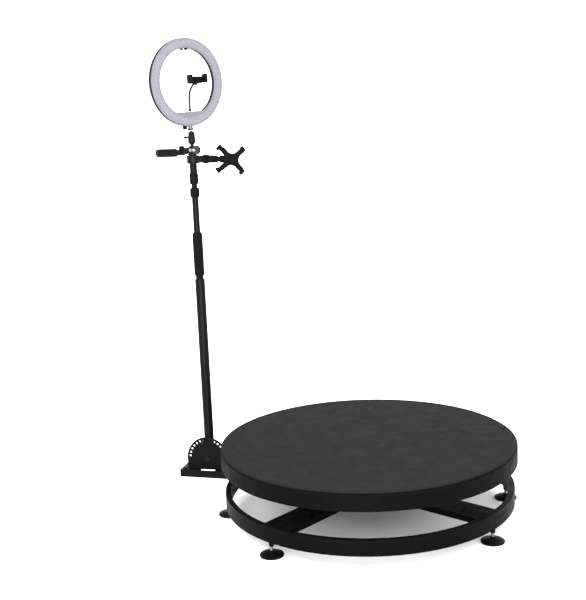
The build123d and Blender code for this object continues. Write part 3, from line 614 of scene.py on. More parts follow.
def make_weld(bm, points, radius=0.0026, ripple=0.0018):
    """A rippled weld bead along a row of points."""
    def bead(travelled):
        return radius * (0.86 + 0.14 * abs(math.sin(math.pi * travelled / ripple)))

    dense = []
    for start, end in zip(points, points[1:]):
        count = max(2, int((end - start).length / (ripple / 4)))
        dense += [start.lerp(end, index / count) for index in range(count)]
    dense.append(points[-1])
    tube_along(bm, dense, bead, steps=8)


def make_base_welds():
    """Beads where the cross beams meet the ring and each other."""
    ring_low, ring_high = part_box("base_ring")
    beam_low, beam_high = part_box("cross_beams")
    ring_width = 0.018
    half_width = 0.050
    inner = (ring_high.x - ring_low.x) / 2 - ring_width
    cross_angle = math.radians(63.5)
    top = beam_high.z
    bm = bmesh.new()
    half_span = math.asin(half_width / inner)
    for quarter in range(4):
        angle = cross_angle + quarter * math.pi / 2
        arc = []
        for step in range(9):
            turn = angle + half_span * (step / 4 - 1) * 0.97
            arc.append(Vector((inner * math.cos(turn), inner * math.sin(turn), top)))
        make_weld(bm, arc)
        for side in (-1, 1):
            turn = angle + side * half_span
            corner = Vector((inner * math.cos(turn), inner * math.sin(turn), 0))
            make_weld(bm, [corner + UP * (beam_low.z + 0.002), corner + UP * (top - 0.001)])
    ahead = Vector((math.cos(cross_angle), math.sin(cross_angle), 0))
    aside = UP.cross(ahead)
    for side in (-1, 1):
        start = aside * side * half_width + UP * top
        make_weld(bm, [start - ahead * half_width, start + ahead * half_width])
    piece("base_welds", bm, "base", "base_paint")


def make_flush_screws():
    """Countersunk socket screws in the centre post's flange, flush with it."""
    flange_top = 0.097
    screw_circle = 0.063
    bm = bmesh.new()
    for turn in range(6):
        angle = FULL_TURN * turn / 6
        place = placed((screw_circle * math.cos(angle), screw_circle * math.sin(angle), flange_top), UP)
        head = [(0, -0.0005), (0.003, -0.0005), (0.003, 0.0006), (0.0075, 0.0006), (0.0085, 0.0001),
                (0.0085, -0.0012), (0, -0.0012)]
        lathe(bm, head, place, steps=36)
    piece("post_flange_screws", bm, "base", "zinc")


def make_cover_screws():
    """Pan-head screws that hold the platform's bottom cover."""
    low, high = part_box("platform_cover")
    rim_circle = (high.x - low.x) / 2 - 0.014
    hub_circle = 0.078
    bm = bmesh.new()
    for ring_radius, count in ((rim_circle, 16), (hub_circle, 6)):
        for turn in range(count):
            angle = FULL_TURN * (turn + 0.5) / count
            place = placed((ring_radius * math.cos(angle), ring_radius * math.sin(angle), low.z), -UP)
            head = [(0, -0.001), (0.0042, -0.001), (0.0042, 0.0008), (0.0034, 0.002), (0.0018, 0.0025),
                    (0.0011, 0.0012), (0, 0.0012)]
            lathe(bm, head, place, steps=28)
    piece("cover_screws", bm, "base", "zinc")


# ---- arm end: tray, protractor, pivot ----
def make_tray_bolts():
    """Hex bolts and washers that hold the tray to the arm's end and carry the bracket."""
    low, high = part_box("arm_tray")
    plate_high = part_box("mast_bracket")[1]
    spots = []
    for x in (low.x + 0.017, plate_high.x - 0.018, high.x - 0.020):
        for y in (low.y + 0.014, high.y - 0.014):
            spots.append((x, y))
    bm = bmesh.new()
    for x, y in spots:
        place = placed((x, y, high.z - 0.0002), UP)
        lathe(bm, [(0, 0), (0.0080, 0), (0.0080, 0.0012), (0.0075, 0.0016), (0, 0.0016)], place, steps=40)
        hexagon(bm, 0.0125, 0.0050, place @ Matrix.Translation((0, 0, 0.0016)))
    piece("tray_bolts", bm, "arm", "black_metal")


def make_bracket_welds():
    """Beads along the feet of the protractor plate and the far ear."""
    bm = bmesh.new()
    tray_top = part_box("arm_tray")[1].z
    low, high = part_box("mast_bracket")
    middle = (low.x + high.x) / 2
    plate = 0.004
    near_half, far_half = high.x - middle, 0.026
    for y, half in ((low.y, near_half), (low.y + plate, near_half), (high.y - plate, far_half),
                    (high.y, far_half)):
        ends = [Vector((middle + side * (half - 0.002), y, tray_top + 0.0004)) for side in (-1, 1)]
        make_weld(bm, ends, radius=0.0022)
    piece("bracket_welds", bm, "arm", "arm_paint")


def make_pivot_bolt():
    """The mast's pivot: hex bolt, washers and lock nut."""
    low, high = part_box("pivot_bolt")
    centre = middle_of("pivot_bolt")
    head = 0.008
    bm = bmesh.new()
    near = placed((centre.x, low.y + head, centre.z), (0, -1, 0))
    far = placed((centre.x, high.y - head, centre.z), (0, 1, 0))
    for place in (near, far):
        lathe(bm, [(0, 0), (0.0125, 0), (0.0125, 0.0010), (0.0118, 0.0015), (0, 0.0015)], place, steps=48)
        hexagon(bm, 0.0200, head - 0.0025, place @ Matrix.Translation((0, 0, 0.0015)))
    lathe(bm, [(0, 0.005), (0.0055, 0.005), (0.0055, 0.0073), (0.0045, 0.008), (0, 0.008)], far, steps=32)
    shaft = placed((centre.x, low.y + head, centre.z), (0, 1, 0))
    lathe(bm, [(0, 0), (0.006, 0), (0.006, high.y - low.y - 2 * head), (0, high.y - low.y - 2 * head)],
          shaft, steps=48)
    piece("pivot_bolt_set", bm, "arm", "black_metal", replaced=("pivot_bolt",))


def make_index_pin():
    """A plated locking pin with a collar and a flat pull ring."""
    low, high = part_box("index_pin")
    centre = middle_of("index_pin")
    out = Vector((0, -1, 0))
    root = Vector((centre.x, high.y, centre.z))
    bm = bmesh.new()
    place = placed(root, out)
    depth = high.y - low.y
    pin = [(0, 0), (0.0026, 0), (0.0033, 0.0008), (0.0033, 0.0052), (0.0046, 0.0052), (0.0046, 0.0085),
           (0.0038, 0.0095), (0.0030, 0.0095), (0.0030, depth - 0.001), (0.0022, depth), (0, depth)]
    lathe(bm, pin, place, steps=36)
    ring_centre = root + out * (depth - 0.0035)
    loop = []
    for step in range(65):
        angle = FULL_TURN * step / 64
        loop.append(ring_centre + UP * (0.0078 * math.sin(angle)) + Vector((0.0030 * math.cos(angle), 0, 0)))
    tube_along(bm, loop, lambda travelled: 0.00105, steps=10)
    piece("index_pin_ring", bm, "index_pin", "zinc", look=cap_grey, replaced=("index_pin",))


# ---- mast ----
def ribbed(count, depth, low, high):
    """A lathe shape with grip ribs between two heights."""
    def shape(angle, height):
        if not low <= height <= high:
            return 1.0
        wave = math.cos(angle * count)
        return 1 - depth * (0.5 - 0.5 * math.tanh(2.5 * wave))
    return shape


def make_foam_grip():
    """The mast's foam sleeve: softly swollen, with rolled ends and small dents."""
    low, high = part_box("foam_grip")
    radius = (high.x - low.x) / 2
    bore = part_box("stage_1_tube")[1].x - middle_of("stage_1_tube").x
    length = high.z - low.z
    axis = middle_of("foam_grip")
    place = placed((axis.x, axis.y, low.z), UP)
    profile = [(bore, 0.0), (radius - 0.0042, 0.0)]
    rows = 44
    for row in range(rows + 1):
        share = row / rows
        end = min(share, 1 - share) * length
        roll = 0.0042 * max(0.0, 1 - end / 0.005) ** 2
        swell = 0.0006 * (1 - math.sin(math.pi * share))
        profile.append((radius - roll - swell, 0.0008 + share * (length - 0.0016)))
    profile += [(radius - 0.0042, length), (bore, length)]

    def dented(angle, height):
        if height < 0.004 or height > length - 0.004:
            return 1.0
        spot = Vector((math.cos(angle) * 2, math.sin(angle) * 2, height * 60))
        return 1 - 0.010 * max(0.0, noise.noise(spot))

    grip = turned_piece("foam_sleeve", "mast", "foam", profile, place, steps=96, shape=dented,
                        closed=True, replaced=("foam_grip",), smooth_angle=60)


def make_lock_collar(node, body, tube, ribs=20):
    """A twist lock: ribbed sleeve between two plain rims, with a thin groove below the top."""
    low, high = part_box(node)
    radius = (high.x - low.x) / 2
    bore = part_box(tube)[1].x - middle_of(tube).x + 0.0003
    length = high.z - low.z
    axis = middle_of(node)
    place = placed((axis.x, axis.y, low.z), UP)
    rim = 0.005
    outline = [(bore, 0), (radius * 0.9, 0), (radius, 0.0018), (radius, rim), (radius * 0.96, rim + 0.0004),
               (radius, rim + 0.0010), (radius, length - rim - 0.0010), (radius * 0.95, length - rim),
               (radius * 0.95, length - 0.0016), (radius * 0.86, length), (bore, length)]
    turned_piece(f"{node}_sleeve", body, "black_plastic", outline, place, steps=ribs * 12,
                 shape=ribbed(ribs, 0.07, rim + 0.0008, length - rim - 0.0005), closed=True,
                 replaced=(node,))


# ---- side arm and tablet holder ----
def make_clamp_screw():
    """A black thumb screw with a lobed head."""
    low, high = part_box("clamp_screw")
    centre = middle_of("clamp_screw")
    depth = high.y - low.y
    place = placed((centre.x, low.y, centre.z), (0, 1, 0))
    head = depth - 0.012
    radius = (high.x - low.x) / 2
    outline = [(0, 0), (0.0030, 0), (0.0030, head - 0.001), (radius * 0.55, head - 0.001),
               (radius * 0.6, head), (radius * 0.92, head + 0.0005), (radius, head + 0.0022),
               (radius, depth - 0.0022), (radius * 0.9, depth - 0.0004), (radius * 0.5, depth),
               (radius * 0.4, depth - 0.0008), (0, depth - 0.0008)]
    turned_piece("clamp_thumb_screw", "clamp_screw", "black_plastic", outline, place, steps=96,
                 shape=ribbed(6, 0.14, head, depth - 0.0005), replaced=("clamp_screw",),
                 smooth_angle=50)


def make_side_collar():
    """The knurled ring that locks the holder's ball joint."""
    low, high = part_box("side_collar")
    centre = middle_of("side_collar")
    radius = (high.z - low.z) / 2
    length = high.x - low.x
    place = placed((low.x, centre.y, centre.z), (1, 0, 0))
    outline = [(0.0053, 0), (radius * 0.88, 0), (radius * 0.95, 0.0010), (radius * 0.95, 0.0026),
               (radius, 0.0034), (radius, length - 0.0034), (radius * 0.95, length - 0.0026),
               (radius * 0.95, length - 0.0010), (radius * 0.88, length), (0.0053, length)]
    turned_piece("side_collar_ring", "side_collar", "black_plastic", outline, place, steps=240,
                 shape=ribbed(30, 0.06, 0.0032, length - 0.0032), closed=True,
                 replaced=("side_collar",))


class Holder:
    """The tablet holder's centre, its outward direction and its heights above its centre plane."""

    centre = Vector(joints["holder_turn"]["pos_m"])
    out = Vector((0, -1, 0))
    plate_back, plate_front = 0.016, 0.022
    bar_back, bar_front = 0.0223, 0.0263
    hook_radius = 0.059
    pad_height = 0.028
    lip_height = 0.038


def make_claw(number):
    """One sprung claw: a ribbed bar that slides on the plate and ends in a padded hook."""
    body = f"claw_{number}"
    along = Vector(joints[f"{body}_slide"]["axis"]).normalized()
    across = Holder.out.cross(along)

    def station(reach, height, direction, width, thickness):
        origin = Holder.centre + along * reach + Holder.out * height
        return section(placed(origin, direction, across), width, thickness, 0.45)

    middle = (Holder.bar_back + Holder.bar_front) / 2
    thickness = Holder.bar_front - Holder.bar_back
    hook = Holder.hook_radius
    bm = bmesh.new()
    stations = [station(0.0150, middle, along, 0.0075, thickness * 0.7),
                station(0.0165, middle, along, 0.0120, thickness),
                station(0.0300, middle, along, 0.0128, thickness),
                station(0.0440, middle, along, 0.0128, thickness),
                station(0.0500, middle, along, 0.0150, thickness),
                station(hook - 0.0022, middle + 0.0008, along + Holder.out * 0.7, 0.0180, 0.0050),
                station(hook, middle + 0.0045, Holder.out, 0.0195, 0.0054),
                station(hook, Holder.lip_height - 0.0035, Holder.out, 0.0198, 0.0054),
                station(hook - 0.0015, Holder.lip_height - 0.0010, Holder.out - along * 0.8, 0.0198, 0.0050),
                station(hook - 0.0050, Holder.lip_height, -along, 0.0190, 0.0042),
                station(hook - 0.0085, Holder.lip_height - 0.0006, -along, 0.0160, 0.0030)]
    loft(bm, stations)
    for offset in (-0.0033, 0.0033):
        rib = placed(Holder.centre + along * 0.034 + Holder.out * Holder.bar_front + across * offset,
                     Holder.out, along)
        slab(bm, (0.026, 0.0012, 0.0007), rib, 0.0005)
    piece(f"{body}_finger", bm, body, "black_plastic", replaced=(body,), smooth_angle=50)

    pin = placed(Holder.centre + along * 0.020 + Holder.out * (Holder.plate_back + 0.0005), Holder.out)
    rise = Holder.bar_back - Holder.plate_back
    turned_piece(f"{body}_pin", body, "zinc", [(0, 0), (0.0018, 0), (0.0020, 0.0004), (0.0020, rise),
                                               (0, rise)], pin, steps=24)

    bm = bmesh.new()
    pad = placed(Holder.centre + along * (hook - 0.0024) + Holder.out * Holder.pad_height, -along, across)
    slab(bm, (0.0120, 0.0060, 0.0012), pad, 0.0015)
    piece(f"{body}_pad", bm, body, "belt_rubber", bevel=0.0004)


def make_holder_details():
    """A round cap on the holder's middle, where the link's pin ends."""
    place = placed(Holder.centre + Holder.out * Holder.plate_front, Holder.out)
    cap = [(0, 0), (0.0105, 0), (0.0105, 0.0012), (0.0095, 0.0022), (0.0050, 0.0026), (0.0040, 0.0018),
           (0, 0.0018)]
    turned_piece("holder_cap", "holder", "black_plastic", rounded(cap, 0.0005), place, steps=48)


# ---- pan and tilt head, handle ----
def make_handle_grip():
    """The pan handle: a ribbed rubber grip with a grey band near its end and a collar at its root."""
    low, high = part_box("handle_grip")
    axis_z = joints["handle_lock_twist"]["pos_m"][2]
    place = placed((high.x, 0, axis_z), (-1, 0, 0))
    length = high.x - low.x
    grip = 0.014
    bore = 0.0048
    collar = [(bore, 0), (0.0086, 0), (0.0095, 0.0010), (0.0095, 0.0190), (0.0088, 0.0200), (0.0088, 0.0212),
              (0.0095, 0.0222), (0.0095, 0.0260), (bore, 0.0260)]
    bm = bmesh.new()
    lathe(bm, rounded(collar, 0.0004, closed=True), place, steps=72, closed=True)
    wing = [(0.0008, 0.0060), (0.0192, 0.0060), (0.0186, 0.0185), (0.0160, 0.0224), (0.0040, 0.0224),
            (0.0014, 0.0185)]
    wing_place = placed((high.x, -0.0048, axis_z), (0, 1, 0), (-1, 0, 0))
    prism(bm, rounded(wing, 0.0030, closed=True), 0.0096, wing_place)
    piece("handle_collar", bm, "handle_grip", "black_plastic", bevel=0.0006)

    sleeve = [(bore, 0.0262), (0.0100, 0.0262), (0.0118, 0.0286), (0.0134, 0.0320)]
    rib_start, rib_end, ribs = 0.0340, length - 0.0130, 14
    for rib in range(ribs):
        start = rib_start + (rib_end - rib_start) * rib / ribs
        pitch = (rib_end - rib_start) / ribs
        sleeve += [(grip, start), (grip, start + pitch * 0.72), (grip * 0.955, start + pitch * 0.80),
                   (grip * 0.955, start + pitch * 0.94)]
    sleeve += [(grip, rib_end + 0.0010), (grip, length - 0.0100), (bore, length - 0.0100)]
    turned_piece("handle_sleeve", "handle_grip", "belt_rubber", sleeve, place, steps=72, closed=True,
                 replaced=("handle_grip",))

    band = [(bore, length - 0.0100), (grip * 0.985, length - 0.0100), (grip * 0.985, length - 0.0066),
            (bore, length - 0.0066)]
    turned_piece("handle_band", "handle_grip", "zinc", band, place, steps=72, closed=True, look=cap_grey)

    cap = [(0, length - 0.0066), (grip, length - 0.0066), (grip, length - 0.0022),
           (grip * 0.86, length - 0.0004), (grip * 0.4, length), (0, length)]
    turned_piece("handle_cap", "handle_grip", "black_plastic", rounded(cap, 0.0010), place, steps=72)


def make_head_details():
    """Screw ends on the tilt pivot."""
    pivot = Vector(joints["head_tilt"]["pos_m"])
    bm = bmesh.new()
    for y in (-0.0195, 0.0155):
        place = placed((pivot.x, y, pivot.z), (0, y, 0))
        cap = [(0, 0), (0.0052, 0), (0.0052, 0.0002), (0.0042, 0.0004), (0, 0.0004)]
        lathe(bm, cap, place, steps=40)
    piece("tilt_screws", bm, "pan_head", "zinc")


def make_tilt_knob():
    """The round friction knob: ribbed rim, dished grey face and a bright set screw off its centre."""
    low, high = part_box("tilt_knob")
    centre = middle_of("tilt_knob")
    radius = (high.x - low.x) / 2
    depth = 0.009
    place = placed((centre.x, low.y + depth, centre.z), (0, -1, 0))
    bm = bmesh.new()
    rim = [(0, 0), (radius * 0.93, 0), (radius, 0.0010), (radius, 0.0064), (radius * 0.93, 0.0078),
           (0, 0.0078)]
    lathe(bm, rim, place, steps=168, shape=ribbed(21, 0.05, 0.0012, 0.0062))
    shank = placed((centre.x, low.y + depth, centre.z), (0, 1, 0))
    lathe(bm, [(0, -0.001), (0.0029, -0.001), (0.0029, 0.0039), (0, 0.0039)], shank, steps=32)
    piece("tilt_knob_rim", bm, "tilt_knob", "black_plastic", replaced=("tilt_knob",))

    face = [(0, 0.0076), (radius * 0.86, 0.0076), (radius * 0.86, 0.0084), (radius * 0.80, 0.0088),
            (radius * 0.62, 0.0082), (0, 0.0080)]
    turned_piece("tilt_knob_face", "tilt_knob", "black_plastic", face, place, steps=72, look=cap_grey)

    screw_place = placed((centre.x - 0.0080, low.y + depth, centre.z), (0, -1, 0))
    screw = [(0, 0.0078), (0.0038, 0.0078), (0.0038, 0.0086), (0.0030, 0.0090), (0.0014, 0.0090),
             (0.0010, 0.0084), (0, 0.0084)]
    turned_piece("tilt_knob_screw", "tilt_knob", "black_plastic", screw, screw_place, steps=36,
                 look=looks["bearing_steel"])


# ---- ball head ----
def make_ball_head():
    """The ball's housing: a turned body on a flared foot, with a groove and a tapered mouth."""
    low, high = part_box("ball_head")
    axis = Vector(joints["ball_swivel"]["pos_m"])
    radius = (high.y - low.y) / 2
    length = high.z - low.z
    place = placed((axis.x, axis.y, low.z), UP)
    ball_height = joints["lamp_tilt"]["pos_m"][2] - low.z
    ball_radius = 0.0082
    outline = [(0, 0), (0.0078, 0), (radius * 0.97, 0.0057), (radius, 0.0066), (radius, 0.0104),
               (radius * 0.95, 0.0112), (radius * 0.95, 0.0124), (radius * 0.98, 0.0132),
               (radius * 0.85, length - 0.0052), (radius * 0.74, length - 0.0012),
               (radius * 0.66, length)]
    outline = rounded(outline, 0.0005)
    mouth = math.asin((length - ball_height) / ball_radius)
    for step in range(13):
        angle = mouth - (mouth + math.pi / 2) * step / 12
        outline.append((ball_radius * math.cos(angle), ball_height + ball_radius * math.sin(angle)))
    turned_piece("ball_housing", "ball_head", "black_metal", outline, place, steps=72,
                 replaced=("ball_head",))


def make_ball_knob():
    """The small lobed knob that locks the ball."""
    low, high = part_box("ball_knob")
    centre = middle_of("ball_knob")
    radius = (high.z - low.z) / 2
    length = high.x - low.x
    place = placed((high.x, centre.y, centre.z), (-1, 0, 0))
    start = length - 0.0130
    outline = [(0, 0), (0.0030, 0), (0.0030, start), (radius * 0.62, start), (radius * 0.62, start + 0.0035),
               (radius * 0.95, start + 0.0050), (radius, start + 0.0065), (radius, length - 0.0020),
               (radius * 0.85, length - 0.0003), (0, length)]
    turned_piece("ball_lock_knob", "ball_knob", "black_plastic", outline, place, steps=80,
                 shape=ribbed(10, 0.12, start + 0.0045, length - 0.001), replaced=("ball_knob",))


# ---- ring lamp ----
def lamp_angles(count=224):
    """Even directions round the lamp, with two of them moved onto the ends of the chord."""
    angles = [FULL_TURN * step / count - math.pi / 2 for step in range(count)]
    for side in (-1, 1):
        corner = -math.pi / 2 + side * math.acos(Lamp.chord / Lamp.inner)
        nearest = min(range(count), key=lambda k: abs(math.remainder(angles[k] - corner, FULL_TURN)))
        angles[nearest] = corner
    return angles


def inner_reach(angle):
    """How far the inner edge is from the lamp's centre: the inner circle, cut off by the chord."""
    down = -math.sin(angle)
    if down <= 1e-6:
        return Lamp.inner
    return min(Lamp.inner, Lamp.chord / down)


def lamp_band(bm, profile):
    """Sweep (share across, inset, w) points round the lamp; share 0 is the inner edge and 1 the outer."""
    loops = []
    for angle in lamp_angles():
        inside, outside = inner_reach(angle), Lamp.radius
        loop = []
        for share, inset, w in profile:
            reach = inside + (outside - inside) * share + inset
            loop.append(bm.verts.new(Lamp.at(reach * math.cos(angle), reach * math.sin(angle), w)))
        loops.append(loop)
    loops.append(loops[0])
    for first, second in zip(loops, loops[1:]):
        bridge(bm, first, second)


def make_diffuser():
    """The opal cover: gently crowned, with round shoulders, clipped over the housing."""
    crown = 0.0012
    profile = [(0, 0.0004, Lamp.seam), (0, 0.0004, Lamp.face - 0.0042)]
    profile += [(0, 0.0008, Lamp.face - 0.0030), (0, 0.0018, Lamp.face - 0.0019),
                (0, 0.0034, Lamp.face - crown)]
    for step in range(1, 8):
        share = step / 8
        lift = crown * (1 - (2 * share - 1) ** 4)
        profile.append((share, 0, Lamp.face - crown + lift))
    profile += [(1, -0.0034, Lamp.face - crown), (1, -0.0018, Lamp.face - 0.0019),
                (1, -0.0008, Lamp.face - 0.0030)]
    profile += [(1, -0.0004, Lamp.face - 0.0042), (1, -0.0004, Lamp.seam)]
    profile += [(1, -0.0030, Lamp.seam), (1, -0.0032, Lamp.face - 0.0045), (0, 0.0032, Lamp.face - 0.0045),
                (0, 0.0030, Lamp.seam)]
    bm = bmesh.new()
    lamp_band(bm, profile)
    piece("diffuser_cover", bm, "lamp", "diffuser", replaced=("lamp_diffuser",), smooth_angle=50)


def make_housing():
    """The black back shell, with a rounded rear edge and a step where the cover sits."""
    profile = [(0, 0.0, Lamp.seam - 0.0004), (0, 0.0, Lamp.back + 0.0030),
               (0, 0.0009, Lamp.back + 0.0010), (0, 0.0030, Lamp.back), (0.5, 0.0, Lamp.back),
               (1, -0.0030, Lamp.back), (1, -0.0009, Lamp.back + 0.0010), (1, 0.0, Lamp.back + 0.0030),
               (1, 0.0, Lamp.seam - 0.0004), (1, -0.0028, Lamp.seam - 0.0004),
               (1, -0.0028, Lamp.back + 0.0028), (0, 0.0028, Lamp.back + 0.0028),
               (0, 0.0028, Lamp.seam - 0.0004)]
    bm = bmesh.new()
    lamp_band(bm, profile)
    piece("housing_shell", bm, "lamp", "black_plastic", replaced=("lamp_housing",), smooth_angle=40)


def make_neck():
    """The pale plastic tongue under the ring that drops into the shoe."""
    root = Lamp.shoe_base + 0.0035
    top = 0.0125 - Lamp.radius
    bm = bmesh.new()
    loops = []
    for height, width, depth in ((root, 0.0140, 0.0088), (root + 0.005, 0.0142, 0.0088),
                                 (root + 0.0085, 0.0200, 0.0100), (root + 0.0110, 0.0290, 0.0112),
                                 (root + 0.0135, 0.0350, 0.0118), (top, 0.0380, 0.0120)):
        loops.append(section(placed(Lamp.at(0, height, -0.0015), Lamp.up, Lamp.right), width, depth, 0.4))
    loft(bm, loops)
    piece("lamp_tongue", bm, "lamp", "diffuser")

    bm = bmesh.new()
    block = placed(Lamp.at(-0.022, -Lamp.radius - 0.0025, -0.0075), Lamp.front, Lamp.right)
    slab(bm, (0.013, 0.0125, 0.0085), block, 0.0015)
    piece("lamp_socket", bm, "lamp", "black_plastic", bevel=0.0006)

    bm = bmesh.new()
    for u, width in ((-0.0085, 0.0075), (0.0090, 0.0095)):
        tab = placed(Lamp.at(u, Lamp.inner - 0.0028, -0.003), Lamp.front, Lamp.right)
        slab(bm, (width, 0.0075, 0.0075), tab, 0.0015)
    piece("lamp_hooks", bm, "lamp", "black_plastic", bevel=0.0005)


def make_leds():
    """Three rows of small lamps on the board under the cover."""
    bm = bmesh.new()
    for row in Lamp.spot_radii:
        for spot in range(Lamp.spots_round):
            angle = FULL_TURN * (spot + 0.5) / Lamp.spots_round
            outward = Lamp.right * math.cos(angle) + Lamp.up * math.sin(angle)
            place = placed(Lamp.at(row * math.cos(angle), row * math.sin(angle), Lamp.board_top),
                           Lamp.front, outward)
            slab(bm, (0.0028, 0.0022, 0.0007), place)
    piece("led_chips", bm, "lamp", "circuit_board", look=phosphor)


def make_shoe():
    """The clamp under the lamp: a block with two cheeks."""
    base = placed(Lamp.at(0, Lamp.shoe_base, -0.0015), Lamp.up, Lamp.right)
    bm = bmesh.new()
    slab(bm, (0.0191, 0.0090, 0.0034), base, 0.0010)
    for side in (-1, 1):
        cheek = base @ Matrix.Translation((side * 0.0083, 0, 0.0032))
        slab(bm, (0.0024, 0.0090, 0.0038), cheek, 0.0006)
    piece("shoe_clamp", bm, "lamp", "black_metal", replaced=("lamp_shoe",), bevel=0.0004)


def smooth_path(points, samples):
    """Points along a smooth curve that is pulled towards each of the given ones."""
    curve = bpy.data.curves.new("path", "CURVE")
    curve.dimensions = "3D"
    curve.resolution_u = samples
    spline = curve.splines.new("NURBS")
    spline.points.add(len(points) - 1)
    for control, point in zip(spline.points, points):
        control.co = (*point, 1)
    spline.order_u = 4
    spline.use_endpoint_u = True
    holder = bpy.data.objects.new("path", curve)
    bpy.context.scene.collection.objects.link(holder)
    bpy.context.view_layer.update()
    mesh = bpy.data.meshes.new_from_object(holder)
    found = [vertex.co.copy() for vertex in mesh.vertices]
    bpy.data.objects.remove(holder)
    bpy.data.meshes.remove(mesh)
    return found


def make_gooseneck():
    """A flexible arm of wound wire, sheathed, with a ferrule at its root."""
    path = [Lamp.at(0.006, 0.0012 - Lamp.chord, -0.003), Lamp.at(0.006, -0.074, -0.0025),
            Lamp.at(0.006, -0.052, -0.002), Lamp.at(0.0063, -0.038, 0.001),
            Lamp.at(0.007, -0.026, 0.007), Lamp.at(0.008, -0.015, 0.016),
            Lamp.at(0.009, -0.0085, 0.0245), Lamp.at(0.009, -0.005, 0.0350)]
    pitch = 0.0026
    points = smooth_path(path, 40)
    dense = [points[0]]
    for point in points[1:]:
        if (point - dense[-1]).length >= pitch / 6:
            dense.append(point)
    bm = bmesh.new()
    tube_along(bm, dense,
               lambda travelled: 0.0033 + 0.0003 * abs(math.sin(math.pi * travelled / pitch)), steps=20)
    piece("gooseneck_coil", bm, "gooseneck", "black_metal", replaced=("gooseneck",), smooth_angle=70)
    place = placed(path[0], path[1] - path[0])
    ferrule = [(0, 0), (0.0045, 0), (0.0045, 0.0060), (0.0038, 0.0080), (0, 0.0080)]
    turned_piece("gooseneck_ferrule", "gooseneck", "black_plastic", rounded(ferrule, 0.0008), place, steps=36)


# ---- phone clamp ----
def clamp_end(bm, u, inward, depth, clamp_w):
    """One jaw of the phone clamp: a curved wall with a lip that leans over the phone."""
    v = 0.009
    loops = []
    for w, width, height, shift in ((clamp_w, 0.0055, 0.024, 0), (clamp_w + 0.003, 0.0060, 0.029, 0),
                                    (clamp_w + depth - 0.006, 0.0060, 0.030, 0),
                                    (clamp_w + depth - 0.003, 0.0072, 0.030, 0.0006),
                                    (clamp_w + depth - 0.0015, 0.0090, 0.029, 0.0015),
                                    (clamp_w + depth, 0.0080, 0.026, 0.0010)):
        origin = Lamp.at(u + inward * shift, v, w)
        loops.append(section(placed(origin, Lamp.front, Lamp.right), width, height, 0.35))
    loft(bm, loops)


def make_phone_clamp():
    """The sprung phone clamp: body with the fixed jaw, sliding jaw, pads and ball nut."""
    clamp_w = 0.040
    bm = bmesh.new()
    loops = []
    for u, height in ((-0.0225, 0.0200), (-0.0205, 0.0220), (0.005, 0.0240), (0.0305, 0.0220),
                      (0.0325, 0.0195)):
        loops.append(section(placed(Lamp.at(u, 0.005, clamp_w + 0.003), Lamp.right, Lamp.up), height,
                             0.0058, 0.3))
    loft(bm, loops)
    clamp_end(bm, -0.024, 1, 0.024, clamp_w)
    piece("phone_clamp_shell", bm, "phone_clamp", "black_plastic", replaced=("phone_clamp_body",),
          smooth_angle=50)

    bm = bmesh.new()
    clamp_end(bm, 0.038, -1, 0.024, clamp_w)
    slider = placed(Lamp.at(0.0187, 0.005, clamp_w + 0.0063), Lamp.front, Lamp.right)
    slab(bm, (0.0384, 0.0115, 0.0038), slider, 0.0015)
    piece("phone_jaw_shell", bm, "phone_jaw", "black_plastic", replaced=("phone_clamp_jaw",), smooth_angle=50)

    for body, u, inward in (("phone_clamp", -0.0208, 1), ("phone_jaw", 0.0348, -1)):
        bm = bmesh.new()
        pad = placed(Lamp.at(u, 0.009, clamp_w + 0.0115), Lamp.right * inward, Lamp.up)
        slab(bm, (0.0240, 0.0070, 0.0009), pad, 0.0015)
        piece(f"{body}_pad", bm, body, "belt_rubber", bevel=0.0003)

    knob = placed(Lamp.at(0.009, -0.004, clamp_w - 0.0035), Lamp.front)
    outline = [(0, 0), (0.0068, 0), (0.0080, 0.0008), (0.0080, 0.0030), (0.0070, 0.0040), (0, 0.0040)]
    turned_piece("phone_clamp_ball_nut", "phone_clamp", "black_plastic", outline, knob, steps=112,
                 shape=ribbed(14, 0.07, 0.0006, 0.0034))


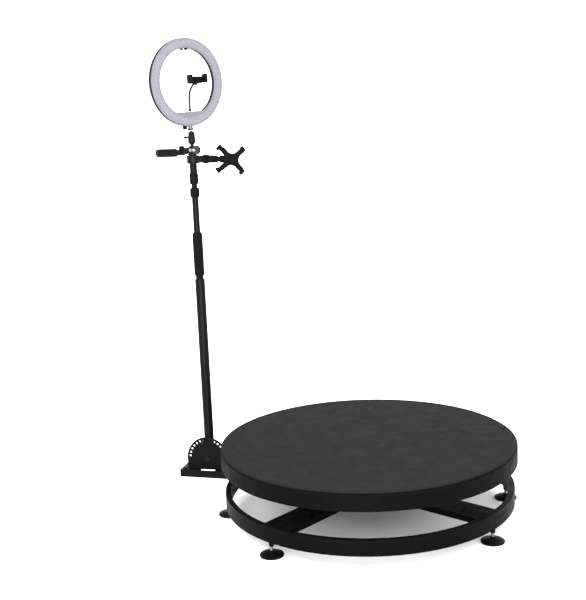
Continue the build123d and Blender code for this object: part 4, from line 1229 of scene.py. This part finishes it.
# ---- room: floor, world and lights ----
def make_room():
    """A pale floor with a painted shadow darkening its colour under the platform, even sky light and three soft
    lamps.
    """
    floor_look = Look("floor", Specular_IOR_Level=0.1)
    tone = floor_look.ranged(floor_look.noise(1.2, 2), 0.3, 0.7, 0, 1)
    open_floor = floor_look.mixed(tone, (0.93, 0.93, 0.93), (0.95, 0.95, 0.95))
    spread = floor_look.node("ShaderNodeVectorMath", operation="LENGTH")
    floor_look.link(floor_look.place, spread.inputs[0])
    # painted shadow: the floor's colour falls to dark grey towards the middle, under the platform
    outside = floor_look.ranged(spread.outputs["Value"], 0.06, 0.38, 0, 1)
    floor_look.link(floor_look.mixed(outside, (0.33, 0.33, 0.33), open_floor), "Base Color")
    floor_look.link(floor_look.ranged(tone, 0, 1, 0.8, 0.9), "Roughness")
    bm = bmesh.new()
    bmesh.ops.create_grid(bm, x_segments=8, y_segments=8, size=14)
    mesh = bpy.data.meshes.new("floor")
    bm.to_mesh(mesh)
    bm.free()
    mesh.materials.append(floor_look.material)
    floor = bpy.data.objects.new("floor", mesh)
    bpy.context.scene.collection.objects.link(floor)

    world = bpy.data.worlds.new("studio")
    bpy.context.scene.world = world
    world.use_nodes = True
    background = world.node_tree.nodes["Background"]
    background.inputs["Color"].default_value = (1, 1, 1, 1)
    background.inputs["Strength"].default_value = 2.8

    for name, place, aim, size, power in (("key", (-1.6, -2.2, 3.2), (-0.1, 0, 0.3), 2.2, 55),
                                          ("low", (0.5, -3.0, 0.55), (0, -0.4, 0.0), 1.6, 155),
                                          ("fill", (2.6, -1.2, 2.4), (0, 0, 0.5), 2.6, 20)):
        data = bpy.data.lights.new(name, "AREA")
        data.size = size
        data.energy = power
        lamp = bpy.data.objects.new(name, data)
        lamp.location = place
        lamp.rotation_euler = (Vector(aim) - Vector(place)).to_track_quat("-Z", "Y").to_euler()
        bpy.context.scene.collection.objects.link(lamp)
    bpy.context.scene.view_settings.view_transform = "Standard"


# ---- put it together ----
make_camera()
make_room()
dress_cad_nodes()
for foot_number in range(1, 7):
    make_foot(f"foot_{foot_number}")
make_base_welds()
make_flush_screws()
make_cover_screws()
make_tray_bolts()
make_bracket_welds()
make_pivot_bolt()
make_index_pin()
make_foam_grip()
make_lock_collar("lower_collar", "lower_collar", "stage_1_tube")
make_lock_collar("upper_collar", "upper_collar", "stage_2_tube", ribs=18)
make_clamp_screw()
make_side_collar()
for claw_number in range(1, 5):
    make_claw(claw_number)
make_holder_details()
make_handle_grip()
make_head_details()
make_tilt_knob()
make_ball_head()
make_ball_knob()
make_diffuser()
make_housing()
make_neck()
make_leds()
make_shoe()
make_gooseneck()
make_phone_clamp()
